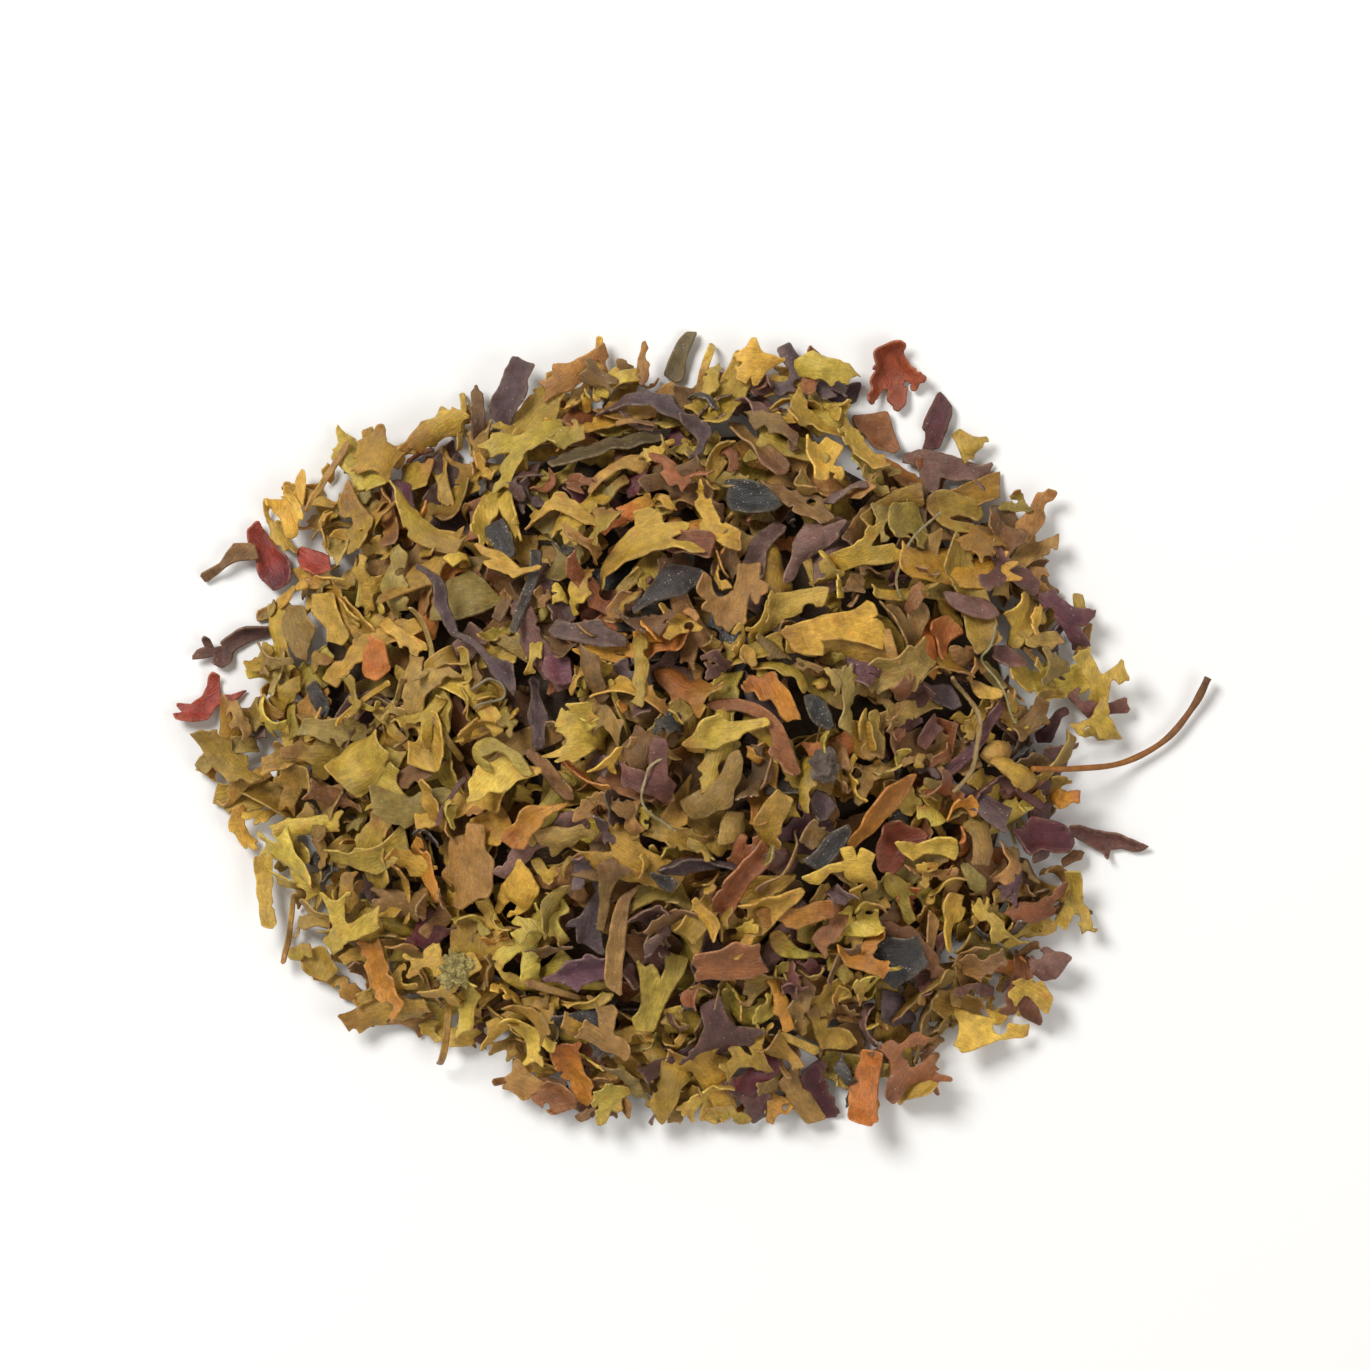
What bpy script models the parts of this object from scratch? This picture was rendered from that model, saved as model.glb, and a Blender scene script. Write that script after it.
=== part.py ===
"""A heap of dried, cut Irish moss (a red seaweed), lying on a flat surface.

The heap is a bed of olive and tan scraps that lock together, fused in one node with a low mound under them,
and single scraps of other colours that lie on it or at its edge, each a solid of its own.
Lengths are in millimetres until a mesh is made. The origin is at the middle of the heap's base, +Z is up.
"""

import math
import random

import bmesh
import bpy
import numpy as np
from mathutils import Matrix, Vector, noise
from mathutils.bvhtree import BVHTree

MM = 0.001

# The heap: its edge's distance from the middle every 30 degrees from +X, its height,
# and how it falls to the edge.
EDGE_RADII = (30.0, 29.5, 27.5, 25.0, 25.0, 29.0, 29.0, 28.0, 24.5, 26.0, 28.5, 30.7)
HEAP_HEIGHT = 12.0
FALL_POWER = 1.9
LEAST_SLOPE_RISE = 1.0

# The mound under the scraps: how far it stays inside the heap, its roughness, and its rings and sectors.
MOUND_DEPTH = 3.0
MOUND_SHARE = 0.86
MOUND_RINGS = 5
MOUND_SECTORS = 26
MOUND_ROUGHNESS = 0.8
MOUND_GRAIN = 0.16

# The scraps: thickness, and the range of sizes of those in the bed.
THICKNESS = 0.6
BED_SCRAPS = 200
BED_SEED = 23
BED_LENGTHS = (5.0, 8.6)
BED_WIDTHS = (1.7, 3.0)

# How scraps settle: the height map's cell, the tries for each scrap, how far a single one may move
# sideways, and the percentage of a scrap that is held clear of what lies under it.
CELL = 0.5
MAP_HALF = 48.0
TRIES = 14
SINGLE_TRIES = 60
NUDGE = 0.8
BED_HELD = 96
SINGLE_HELD = 98
TILT = math.radians(12)
CLEAR = 0.3
LIFT_STEP = 0.1

# What brings the middle of the whole heap, with the pieces at its edge, over the origin.
CENTRE_SHIFT = (-2.454, -0.537)

# Each single scrap: kind, place x and y, heading, length, width, lobes, bow, curl, cup, twist, colour.
# Kinds are fork, strap, chip and leaf. Bow bends the outline in its own plane; curl, cup and twist bend
# it out of it. Angles are in degrees over the whole length, and cup over the whole width. They settle in
# this order.
SINGLES = {
    "dark_gill": ("leaf", 6.3, 16.1, 5, 5.0, 2.2, 0, 0, -30, 40, 10, "slate"),
    "plum_brown_blade": ("chip", -15.4, 17.9, 105, 4.8, 3.2, 5, 0, 30, 30, 0, "plum_brown"),
    "olive_tongue": ("leaf", -13.8, 16.4, 97, 6.4, 2.6, 0, 10, 35, 50, 10, "olive"),
    "slate_tail": ("strap", -9.1, 9.2, 268, 6.3, 1.3, 0, 15, 20, 50, 20, "slate"),
    "speckled_strap": ("strap", -10.3, 13.4, 297, 4.4, 2.0, 0, 8, -30, 60, 0, "slate"),
    "broad_khaki_blade": ("chip", -12.4, 10.0, 15, 6.4, 3.5, 5, 0, -28, -25, 0, "khaki"),
    "gold_prong": ("fork", -9.4, 11.4, 345, 5.4, 1.8, 3, 0, 20, 30, 20, "gold"),
    "plum_chip": ("chip", -7.0, 5.0, 0, 3.0, 2.4, 4, 0, 20, 20, 0, "plum"),
    "mauve_pod": ("leaf", -5.1, 6.7, 352, 5.7, 2.0, 0, -12, -50, 60, 0, "mauve"),
    "purple_ribbon": ("strap", -12.4, 7.5, 308, 11.5, 1.5, 0, 26, 40, 30, 60, "plum_grey"),
    "olive_wave": ("strap", -0.4, 12.3, 18, 7.6, 2.2, 0, -30, -70, 30, 20, "olive"),
    "slate_shield": ("chip", 0.8, 9.7, 222, 5.4, 3.0, 4, 0, -15, -12, 10, "slate"),
    "grey_green_strap": ("strap", -4.3, 19.8, 25, 8.6, 2.1, 0, 4, -12, 40, 0, "grey_green"),
    "dark_arch": ("strap", -1.0, 22.6, 350, 7.6, 2.0, 0, -38, -110, 50, 30, "plum_grey"),
    "dark_hook": ("strap", 2.0, 20.2, 300, 4.6, 1.5, 0, -60, 50, 40, 30, "plum_grey"),
    "tan_strap": ("strap", 6.6, 19.4, 312, 6.6, 2.2, 0, 8, -25, 50, 10, "tan"),
    "yellow_star": ("fork", 10.8, 19.0, 80, 4.2, 2.2, 4, 0, 30, 40, 0, "gold"),
    "rust_fan": ("fork", 15.2, 20.6, 315, 4.8, 2.4, 2, 0, 40, 40, 0, "rust"),
    "mauve_strap": ("strap", 7.5, 12.2, 60, 6.8, 1.9, 0, -18, -35, 40, 20, "mauve"),
    "mauve_blade": ("chip", 10.8, 12.6, 18, 5.2, 2.8, 5, 0, 30, -30, 0, "mauve"),
    "tan_antler": ("fork", 5.2, 8.3, 255, 7.0, 2.0, 4, 0, -30, 30, 10, "tan"),
    "mauve_antler": ("fork", 21.3, 17.7, 356, 6.6, 2.6, 4, 0, -35, 30, 20, "mauve"),
    "gold_antler": ("fork", 21.8, 14.3, 12, 5.6, 2.6, 3, 0, -30, 40, 0, "olive"),
    "gold_toothed_strap": ("fork", 12.7, 6.9, 10, 7.6, 2.9, 4, 0, -24, 36, 0, "gold"),
    "purple_loop": ("strap", 15.0, 11.0, 20, 7.2, 1.1, 0, 300, 30, 50, 0, "wine"),
    "orange_tee": ("fork", 18.9, 5.8, 262, 4.6, 2.4, 2, 0, 50, 50, 0, "orange"),
    "plum_flake": ("chip", 19.6, 2.2, 340, 3.8, 2.2, 5, 0, 30, 30, 0, "plum_grey"),
    "dark_chip": ("chip", 10.6, 0.8, 300, 3.4, 2.4, 4, 0, 10, 20, 0, "slate"),
    "orange_lump": ("fork", 2.6, 3.9, 340, 4.8, 2.6, 3, 0, 50, -40, 10, "orange"),
    "amber_chip": ("fork", 8.4, 2.6, 115, 4.6, 1.9, 3, 0, -40, 40, 0, "amber"),
    "brown_arch": ("strap", 7.5, 0.9, 325, 8.2, 1.6, 0, -62, -30, 40, 10, "rust"),
    "amber_leaf": ("leaf", 0.9, -3.9, 68, 5.0, 2.0, 0, 10, 30, 50, 0, "amber"),
    "brown_strap": ("strap", -6.5, -1.9, 308, 5.0, 1.7, 0, 10, -20, 50, 0, "brown"),
    "plum_leaf": ("leaf", -7.3, 1.1, 278, 5.0, 1.6, 0, 5, -30, 70, 30, "plum_grey"),
    "toothed_gold": ("fork", -9.6, -4.0, 235, 6.0, 3.2, 4, 0, 30, 30, 0, "gold"),
    "brick_chunk": ("chip", 16.8, -7.0, 30, 4.2, 3.2, 5, 0, 30, 30, 0, "brick"),
    "olive_antler": ("fork", 14.0, 0.2, 250, 6.6, 2.5, 3, 0, -20, 50, 10, "olive"),
    "slate_shard": ("chip", 11.5, -6.9, 58, 4.0, 2.2, 4, 0, 15, 20, 0, "slate"),
    "amber_blade": ("leaf", 15.0, -4.9, 236, 7.0, 2.2, 0, 14, -30, 40, 10, "amber"),
    "yellow_boat": ("leaf", 18.5, -7.6, 350, 5.8, 2.0, 0, -22, 40, 80, 0, "gold"),
    "wine_fold": ("chip", 26.4, -7.5, 352, 5.8, 3.0, 5, 0, 60, 60, 20, "wine"),
    "wine_antler": ("fork", 32.3, -6.9, 357, 5.8, 1.3, 3, 0, 40, 60, 60, "plum_brown"),
    "dark_curl": ("strap", 2.6, -8.8, 350, 6.0, 1.5, 0, 60, 50, 70, 30, "plum_grey"),
    "broad_tan_blade": ("chip", -12.6, -9.0, 98, 6.6, 3.7, 6, 0, 25, -22, 0, "tan"),
    "slate_antler": ("fork", -5.4, -10.9, 88, 6.2, 1.9, 3, 0, 20, 40, 10, "plum_grey"),
    "rust_plate": ("chip", 5.3, -16.1, 4, 5.2, 2.7, 4, 0, -18, 15, 0, "rust"),
    "pink_wing": ("chip", -4.7, -15.8, 22, 5.8, 2.4, 4, 0, 30, 40, 10, "plum"),
    "three_fork": ("fork", 0.3, -17.6, 262, 6.4, 2.3, 3, 0, -25, 30, 0, "gold"),
    "bright_crumple": ("fork", 12.8, -20.0, 300, 5.6, 2.6, 4, 0, 50, 50, 20, "gold"),
    "wine_strip": ("strap", 12.0, -24.6, 282, 4.6, 1.9, 0, 4, -20, 30, 0, "wine"),
    "red_blade": ("leaf", -26.6, 13.0, 300, 5.6, 2.6, 0, 12, 60, 70, 30, "red"),
    "red_antler": ("fork", -31.4, 2.3, 212, 5.4, 1.9, 3, 0, 30, 40, 30, "red"),
    "purple_antler": ("fork", -29.9, 7.5, 204, 6.2, 1.6, 4, 0, 30, 50, 40, "plum_brown"),
    "dark_stick": ("strap", 2.1, 25.9, 66, 3.8, 1.4, 0, 20, -20, 50, 0, "grey_green"),
    "wine_shard": ("chip", 20.2, 22.9, 74, 4.0, 2.0, 4, 0, -15, 20, 0, "wine"),
    "red_crumple": ("fork", 16.2, 25.4, 285, 5.0, 2.8, 3, 0, 70, 60, 20, "brick"),
}

# A long brown stem end, free at the heap's edge: the points that it passes, and its radius.
STEM_POINTS = (
    (26.5, -2.4, 5.4), (29.8, -2.4, 3.4), (33.2, -2.0, 0.9),
    (36.2, -0.4, 0.45), (38.2, 2.0, 0.5), (39.2, 4.0, 0.9),
)
STEM_RADIUS = 0.34
STEM_SIDES_BEVEL = 1

# Two lumps of crust: place x and y, size, colour.
LUMPS = {"lichen_crumb": (-14.0, -16.4, 3.3, "lichen"), "grey_knob": (11.9, -2.0, 3.0, "grey")}
LUMP_ROUGHNESS = 0.28

# Linear colour and roughness of each kind of scrap.
COLOURS = {
    "olive": ((0.27, 0.17, 0.035), 0.5),
    "gold": ((0.40, 0.26, 0.045), 0.5),
    "khaki": ((0.26, 0.18, 0.06), 0.55),
    "tan": ((0.24, 0.13, 0.04), 0.55),
    "amber": ((0.33, 0.13, 0.02), 0.45),
    "orange": ((0.36, 0.10, 0.03), 0.5),
    "rust": ((0.20, 0.075, 0.03), 0.5),
    "brown": ((0.14, 0.075, 0.03), 0.55),
    "brick": ((0.20, 0.04, 0.02), 0.45),
    "red": ((0.26, 0.035, 0.025), 0.4),
    "wine": ((0.085, 0.018, 0.025), 0.45),
    "plum": ((0.12, 0.04, 0.06), 0.5),
    "plum_brown": ((0.10, 0.04, 0.035), 0.55),
    "plum_grey": ((0.07, 0.045, 0.06), 0.55),
    "mauve": ((0.13, 0.075, 0.07), 0.55),
    "slate": ((0.035, 0.034, 0.04), 0.5),
    "grey_green": ((0.12, 0.105, 0.06), 0.55),
    "lichen": ((0.28, 0.27, 0.09), 0.9),
    "grey": ((0.11, 0.095, 0.085), 0.9),
}


class Scrap:
    """A flat outline, going round anticlockwise, and how it bends out of its plane.

    The bends are in radians for each millimetre.
    """

    def __init__(self, outline, curl, cup, twist, swirl=0.0):
        self.outline = np.array(outline, float)
        self.outline -= self.outline.mean(0)
        self.curl, self.cup, self.twist, self.swirl = curl, cup, twist, swirl

    def bent(self, uv):
        """Where points of the flat outline's plane come to when the scrap is curled, cupped and twisted."""
        u, v = np.asarray(uv, float).T
        along = np.linspace(-9.0, 9.0, 91)
        heading = self.curl * along + self.swirl * along**2 / 2
        step = along[1] - along[0]
        x = np.concatenate([[0], np.cumsum((np.cos(heading[1:]) + np.cos(heading[:-1])) / 2)]) * step
        z = np.concatenate([[0], np.cumsum((np.sin(heading[1:]) + np.sin(heading[:-1])) / 2)]) * step
        x -= np.interp(0, along, x)
        z -= np.interp(0, along, z)
        cup = self.cup if abs(self.cup) > 1e-4 else 1e-4
        across = np.sin(cup * v) / cup
        rise = (1 - np.cos(cup * v)) / cup
        turn = self.twist * u
        cos, sin = np.cos(turn), np.sin(turn)
        across, rise = across * cos - rise * sin, across * sin + rise * cos
        facing = np.interp(u, along, heading)
        bent_x = np.interp(u, along, x) - rise * np.sin(facing)
        bent_z = np.interp(u, along, z) + rise * np.cos(facing)
        return np.stack([bent_x, across, bent_z], 1)

    def samples(self):
        """Points spread over the bent scrap, for settling it."""
        after = np.roll(self.outline, -1, 0)
        rim = np.concatenate([self.outline * (1 - share) + after * share for share in (0, 0.25, 0.5, 0.75)])
        return self.bent(np.concatenate([rim * share for share in (0.05, 0.25, 0.45, 0.65, 0.85, 1.0)]))


def strap_outline(length, width, bow, slants, taper, stations):
    """A strap with cut ends, bowed in its own plane by an angle in radians."""
    share = np.linspace(-0.5, 0.5, stations)
    fine = np.linspace(-0.5, 0.5, 41)
    heading = bow * fine
    x = np.concatenate([[0], np.cumsum(np.cos(heading[:-1]))]) * length / 40
    y = np.concatenate([[0], np.cumsum(np.sin(heading[:-1]))]) * length / 40
    sides = []
    for side in (-1, 1):
        row = []
        for s in share:
            half = width / 2 * (1 + taper * s)
            slant = slants[0] if s == share[0] else slants[1] if s == share[-1] else 0.0
            angle = bow * s
            along = side * half * slant
            px = np.interp(s, fine, x) + along * math.cos(angle) - side * half * math.sin(angle)
            py = np.interp(s, fine, y) + along * math.sin(angle) + side * half * math.cos(angle)
            row.append((px, py))
        sides.append(row)
    return sides[0] + sides[1][::-1]


def fork_outline(length, width, lobes, spread, draw):
    """A stem with a cut base that opens into fingers, each with a blunt tip, and round gaps between them."""
    hub = length * draw.uniform(0.38, 0.5)
    finger = length - hub
    base = width * 0.42
    points = [(0, -base), (hub * 0.75, -width * 0.5)]
    angles = [spread * (i / (lobes - 1) - 0.5) for i in range(lobes)]
    reaches = [finger * draw.uniform(0.78, 1.12) for _ in angles]
    tip = width * 1.35 / lobes * 0.42
    for i, (angle, reach) in enumerate(zip(angles, reaches)):
        ahead, side = (math.cos(angle), math.sin(angle)), (-math.sin(angle), math.cos(angle))
        start = width * 0.5 * math.sin(angle)
        for half in (-tip, tip):
            x = hub + ahead[0] * reach + side[0] * half
            y = start + ahead[1] * reach + side[1] * half
            points.append((x, y))
        if i + 1 < lobes:
            middle = (angle + angles[i + 1]) / 2
            depth = min(reach, reaches[i + 1]) * draw.uniform(0.3, 0.5)
            start = width * 0.5 * math.sin(middle)
            points.append((hub + depth * math.cos(middle), start + depth * math.sin(middle)))
    return points + [(hub * 0.75, width * 0.5), (0, base)]


def chip_outline(length, width, corners, draw):
    """A broken piece with straight cut edges."""
    points = []
    for i in range(corners):
        angle = 2 * math.pi * (i + draw.uniform(-0.22, 0.22)) / corners
        reach = draw.uniform(0.86, 1.14)
        points.append((length / 2 * reach * math.cos(angle), width / 2 * reach * math.sin(angle)))
    return points


def leaf_outline(length, width, bow):
    """A pointed blade, bowed in its own plane by an angle in radians."""
    points = []
    for side in (-1, 1):
        shares = (-0.5, -0.22, 0.12, 0.36) if side < 0 else (0.5, 0.36, 0.12, -0.22)
        for s in shares:
            half = width / 2 * (1 - (2 * s) ** 2) ** 0.7
            points.append((length * s, side * half + bow * length * (s * s - 0.08)))
    return points


def single_scrap(name):
    """The scrap that one row of SINGLES describes."""
    kind, _, _, _, length, width, lobes, bow, curl, cup, twist, _ = SINGLES[name]
    draw = random.Random(name)
    bow = math.radians(bow)
    if kind == "strap":
        stations = 5 + int(abs(bow) > 0.8) * 2 + int(abs(bow) > 3) * 3
        slants = (draw.uniform(-0.5, 0.5), draw.uniform(-0.5, 0.5))
        outline = strap_outline(length, width, bow, slants, 0.3, stations)
    elif kind == "fork":
        outline = fork_outline(length, width, lobes, math.radians(34 + 16 * lobes), draw)
    elif kind == "chip":
        outline = chip_outline(length, width, lobes, draw)
    else:
        outline = leaf_outline(length, width, bow)
    bends = [math.radians(angle) for angle in (curl, cup, twist)]
    return Scrap(outline, bends[0] / length, bends[1] / width, bends[2] / length)


def bed_scrap(draw):
    """One random scrap of the bed."""
    length, width = draw.uniform(*BED_LENGTHS), draw.uniform(*BED_WIDTHS)
    kind = draw.choices(("two", "three", "strap", "chip"), (4, 3, 3, 2))[0]
    if kind == "two":
        outline = fork_outline(length, width, 2, math.radians(draw.uniform(50, 85)), draw)
    elif kind == "three":
        outline = fork_outline(length, width * 1.2, 3, math.radians(draw.uniform(60, 100)), draw)
    elif kind == "strap":
        slants = (draw.uniform(-0.7, 0.7), draw.uniform(-0.7, 0.7))
        bow, taper = draw.uniform(-1.2, 1.2), draw.uniform(-0.5, 0.5)
        outline = strap_outline(length, width * 0.8, bow, slants, taper, 3)
    else:
        outline = chip_outline(length * 0.75, width * 1.35, draw.choice((4, 5)), draw)
    curl = math.radians(draw.uniform(25, 75)) * draw.choice((-1, 1)) / length
    cup = math.radians(draw.uniform(20, 70)) * draw.choice((-1, 1)) / width
    return Scrap(outline, curl, cup, math.radians(draw.uniform(-40, 40)) / length)


def edge_radius(angle):
    """The heap's edge in that direction: a smooth curve through EDGE_RADII."""
    place = angle % (2 * math.pi) / (2 * math.pi) * len(EDGE_RADII)
    index, share = int(place), place % 1
    ease = (1 - math.cos(math.pi * share)) / 2
    first, second = EDGE_RADII[index % len(EDGE_RADII)], EDGE_RADII[(index + 1) % len(EDGE_RADII)]
    return first * (1 - ease) + second * ease


def heap_height(x, y):
    """The height of the finished heap's surface over a point."""
    share = math.hypot(x, y) / edge_radius(math.atan2(y, x))
    return HEAP_HEIGHT * max(0.0, 1 - share**FALL_POWER)


def mound_height(x, y):
    """The height of the mound under the scraps over a point."""
    height = heap_height(x / MOUND_SHARE, y / MOUND_SHARE)
    return max(0.0, height * (1 - MOUND_DEPTH / HEAP_HEIGHT))


def heap_normal(x, y):
    """The way that the heap's surface faces over a point."""
    step = 1.5
    slope_x = (heap_height(x + step, y) - heap_height(x - step, y)) / (2 * step)
    slope_y = (heap_height(x, y + step) - heap_height(x, y - step)) / (2 * step)
    steep = max(1.0, math.hypot(slope_x, slope_y) / LEAST_SLOPE_RISE)
    return Vector((-slope_x / steep, -slope_y / steep, 1)).normalized()


def turned(x, y, heading, pitch, roll):
    """How a scrap is turned where it lies on the heap."""
    lean = Vector((0, 0, 1)).rotation_difference(heap_normal(x, y)).to_matrix()
    for angle, axis in ((heading, "Z"), (pitch, "Y"), (roll, "X")):
        lean = lean @ Matrix.Rotation(angle, 3, axis)
    return lean


class HeightMap:
    """The top of what already lies in the heap, in square cells."""

    def __init__(self):
        self.count = int(2 * MAP_HALF / CELL)
        middles = (np.arange(self.count) + 0.5) * CELL - MAP_HALF
        self.top = np.array([[mound_height(x, y) for y in middles] for x in middles])

    def cells(self, points):
        index = ((points[:, :2] + MAP_HALF) / CELL).astype(int)
        return tuple(np.clip(index, 0, self.count - 1).T)

    def rest_height(self, points, held):
        """How far the points rise to rest, with that percentage of them at or above what lies there."""
        under = points[:, 2] - THICKNESS / 2
        return max(np.percentile(self.top[self.cells(points)] - under, held), -under.min())

    def add(self, points):
        np.maximum.at(self.top, self.cells(points), points[:, 2] + THICKNESS / 2)


def settled_bed(heights):
    """The bed's scraps and their places, each dropped where the heap is still too low."""
    draw = random.Random(BED_SEED)
    placed = []
    for _ in range(BED_SCRAPS):
        scrap = bed_scrap(draw)
        flat = scrap.samples()
        best = None
        for _ in range(TRIES):
            angle = draw.uniform(0, 2 * math.pi)
            reach = edge_radius(angle) * math.sqrt(draw.uniform(0, 0.94))
            x, y = reach * math.cos(angle), reach * math.sin(angle)
            rotation = turned(x, y, draw.uniform(0, 2 * math.pi), draw.gauss(0, TILT), draw.gauss(0, TILT))
            points = flat @ np.array(rotation).T + (x, y, 0)
            z = heights.rest_height(points, BED_HELD)
            excess = z - heap_height(x, y)
            if best is None or excess < best[0]:
                best = (excess, rotation, Vector((x, y, z)), points + (0, 0, z))
        heights.add(best[3])
        placed.append((scrap, best[1], best[2]))
    return placed


def settled_singles(heights):
    """The single scraps and their places, each near its row's place and leaned so that it lies low."""
    placed = {}
    for name, (_, row_x, row_y, heading, *_) in SINGLES.items():
        scrap = single_scrap(name)
        draw = random.Random(name)
        flat = scrap.samples()
        best = None
        for _ in range(SINGLE_TRIES):
            x, y = row_x + draw.uniform(-NUDGE, NUDGE), row_y + draw.uniform(-NUDGE, NUDGE)
            rotation = turned(x, y, math.radians(heading), draw.gauss(0, TILT), draw.gauss(0, TILT))
            points = flat @ np.array(rotation).T + (x, y, 0)
            z = heights.rest_height(points, SINGLE_HELD)
            if best is None or z < best[0]:
                best = (z, rotation, Vector((x, y, z)), points + (0, 0, z))
        heights.add(best[3])
        placed[name] = (scrap, best[1], best[2])
    return placed


def material(name):
    colour, roughness = COLOURS[name]
    made = bpy.data.materials.get(name) or bpy.data.materials.new(name)
    made.use_nodes = True
    shader = made.node_tree.nodes["Principled BSDF"]
    shader.inputs["Base Color"].default_value = (*colour, 1)
    shader.inputs["Roughness"].default_value = roughness
    return made


def new_object(name, mesh, colour, collection):
    made = bpy.data.objects.new(name, mesh)
    mesh.materials.append(material(colour))
    collection.objects.link(made)
    return made


def scrap_object(name, scrap, rotation, place, outline, colour, collection):
    """A sheet with that outline, bent and laid in its place, and thickened to a solid."""
    shape = bmesh.new()
    flat = [shape.verts.new((u, v, 0)) for u, v in outline]
    shape.faces.new(flat).normal_update()
    bmesh.ops.triangulate(shape, faces=shape.faces[:], ngon_method="BEAUTY")
    for vertex, point in zip(flat, scrap.bent(outline)):
        vertex.co = Vector(point) * MM
    mesh = bpy.data.meshes.new(name)
    shape.to_mesh(mesh)
    shape.free()
    made = new_object(name, mesh, colour, collection)
    made.matrix_world = Matrix.Translation(place * MM) @ rotation.to_4x4()
    sheet = made.modifiers.new("thickness", "SOLIDIFY")
    sheet.thickness = THICKNESS * MM
    sheet.offset = 0
    return made


def smoothed(outline):
    """The outline with a point added between each two, and its corners eased."""
    before, after = np.roll(outline, 1, 0), np.roll(outline, -1, 0)
    beyond = np.roll(outline, -2, 0)
    middle = (9 * (outline + after) - before - beyond) / 16
    return np.stack([outline, middle], 1).reshape(-1, 2)


def mound_mesh():
    """The low mound that the bed's scraps are rooted in, with a flat base."""
    shape = bmesh.new()
    rings = []
    for ring in range(1, MOUND_RINGS + 1):
        row = []
        for sector in range(MOUND_SECTORS):
            angle = 2 * math.pi * (sector + ring % 2 / 2) / MOUND_SECTORS
            reach = edge_radius(angle) * MOUND_SHARE * (ring / MOUND_RINGS) ** 0.8
            x, y = reach * math.cos(angle), reach * math.sin(angle)
            rough = noise.noise(Vector((x, y, 0)) * MOUND_GRAIN) * MOUND_ROUGHNESS
            z = mound_height(x * 0.99, y * 0.99) + rough
            row.append(shape.verts.new(Vector((x, y, max(z, THICKNESS))) * MM))
        rings.append(row)
    foot = [shape.verts.new((v.co.x, v.co.y, 0)) for v in rings[-1]]
    top = shape.verts.new((0, 0, mound_height(0, 0) * MM))
    rings.append(foot)
    for i in range(MOUND_SECTORS):
        shape.faces.new((top, rings[0][i], rings[0][(i + 1) % MOUND_SECTORS]))
    for inner, outer in zip(rings, rings[1:]):
        for i in range(MOUND_SECTORS):
            after = (i + 1) % MOUND_SECTORS
            shape.faces.new((inner[i], outer[i], outer[after], inner[after]))
    shape.faces.new(foot[::-1])
    bmesh.ops.triangulate(shape, faces=shape.faces[:])
    bmesh.ops.recalc_face_normals(shape, faces=shape.faces[:])
    mesh = bpy.data.meshes.new("mound")
    shape.to_mesh(mesh)
    shape.free()
    return mesh


def evaluated_mesh(item):
    """The item's mesh in world space, with its modifiers applied."""
    bpy.context.view_layer.update()
    graph = bpy.context.evaluated_depsgraph_get()
    mesh = bpy.data.meshes.new_from_object(item.evaluated_get(graph))
    mesh.transform(item.matrix_world)
    return mesh


def drop_loose_shells(mesh):
    """Keeps only the largest shell of a mesh, which drops loose scraps and fills sealed hollows."""
    shape = bmesh.new()
    shape.from_mesh(mesh)
    bmesh.ops.triangulate(shape, faces=shape.faces[:])
    seen, shells = set(), []
    for start in shape.faces:
        if start in seen:
            continue
        seen.add(start)
        shell, front = [start], [start]
        while front:
            for edge in front.pop().edges:
                for face in edge.link_faces if edge.is_manifold else ():
                    if face not in seen:
                        seen.add(face)
                        shell.append(face)
                        front.append(face)
        shells.append(shell)
    shells.sort(key=len)
    bmesh.ops.delete(shape, geom=[face for shell in shells[:-1] for face in shell], context="FACES")
    shape.to_mesh(mesh)
    shape.free()


def make_bed(placed, scene_collection):
    """The mound and the bed's scraps, joined in one solid."""
    scraps = bpy.data.collections.new("bed scraps")
    scene_collection.children.link(scraps)
    for i, (scrap, rotation, place) in enumerate(placed):
        scrap_object(f"bed_scrap_{i}", scrap, rotation, place, scrap.outline, "olive", scraps)
    bed = new_object("olive_bed", mound_mesh(), "olive", scene_collection)
    union = bed.modifiers.new("union", "BOOLEAN")
    union.operation = "UNION"
    union.operand_type = "COLLECTION"
    union.collection = scraps
    union.solver = "MANIFOLD"
    joined = evaluated_mesh(bed)
    bed.modifiers.remove(union)
    bed.data = joined
    for item in list(scraps.objects):
        bpy.data.objects.remove(item)
    bpy.data.collections.remove(scraps)
    drop_loose_shells(bed.data)
    return bed


def tree_of(item):
    """A search tree of the item's solid in world space."""
    shape = bmesh.new()
    shape.from_mesh(evaluated_mesh(item))
    tree = BVHTree.FromBMesh(shape)
    shape.free()
    return tree


def lift_clear(item, trees):
    """Raises a piece in small steps until it cuts none of the other solids, then by a small gap."""
    cut = True
    while cut:
        tree = tree_of(item)
        while any(tree.overlap(other) for other in trees):
            item.location.z += LIFT_STEP * MM
            tree = tree_of(item)
        item.location.z += CLEAR * MM
        tree = tree_of(item)
        cut = any(tree.overlap(other) for other in trees)
    return tree


def make_stem(collection):
    """The long stem end, a thin round curve."""
    curve = bpy.data.curves.new("brown_stem", "CURVE")
    curve.dimensions = "3D"
    curve.bevel_depth = STEM_RADIUS * MM
    curve.bevel_resolution = STEM_SIDES_BEVEL
    curve.use_fill_caps = True
    spline = curve.splines.new("POLY")
    points = smooth_route(STEM_POINTS, 3)
    spline.points.add(len(points) - 1)
    for point, place in zip(spline.points, points):
        point.co = (*(Vector(place) * MM), 1)
    made = bpy.data.objects.new("brown_stem", curve)
    curve.materials.append(material("rust"))
    collection.objects.link(made)
    return made


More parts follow.
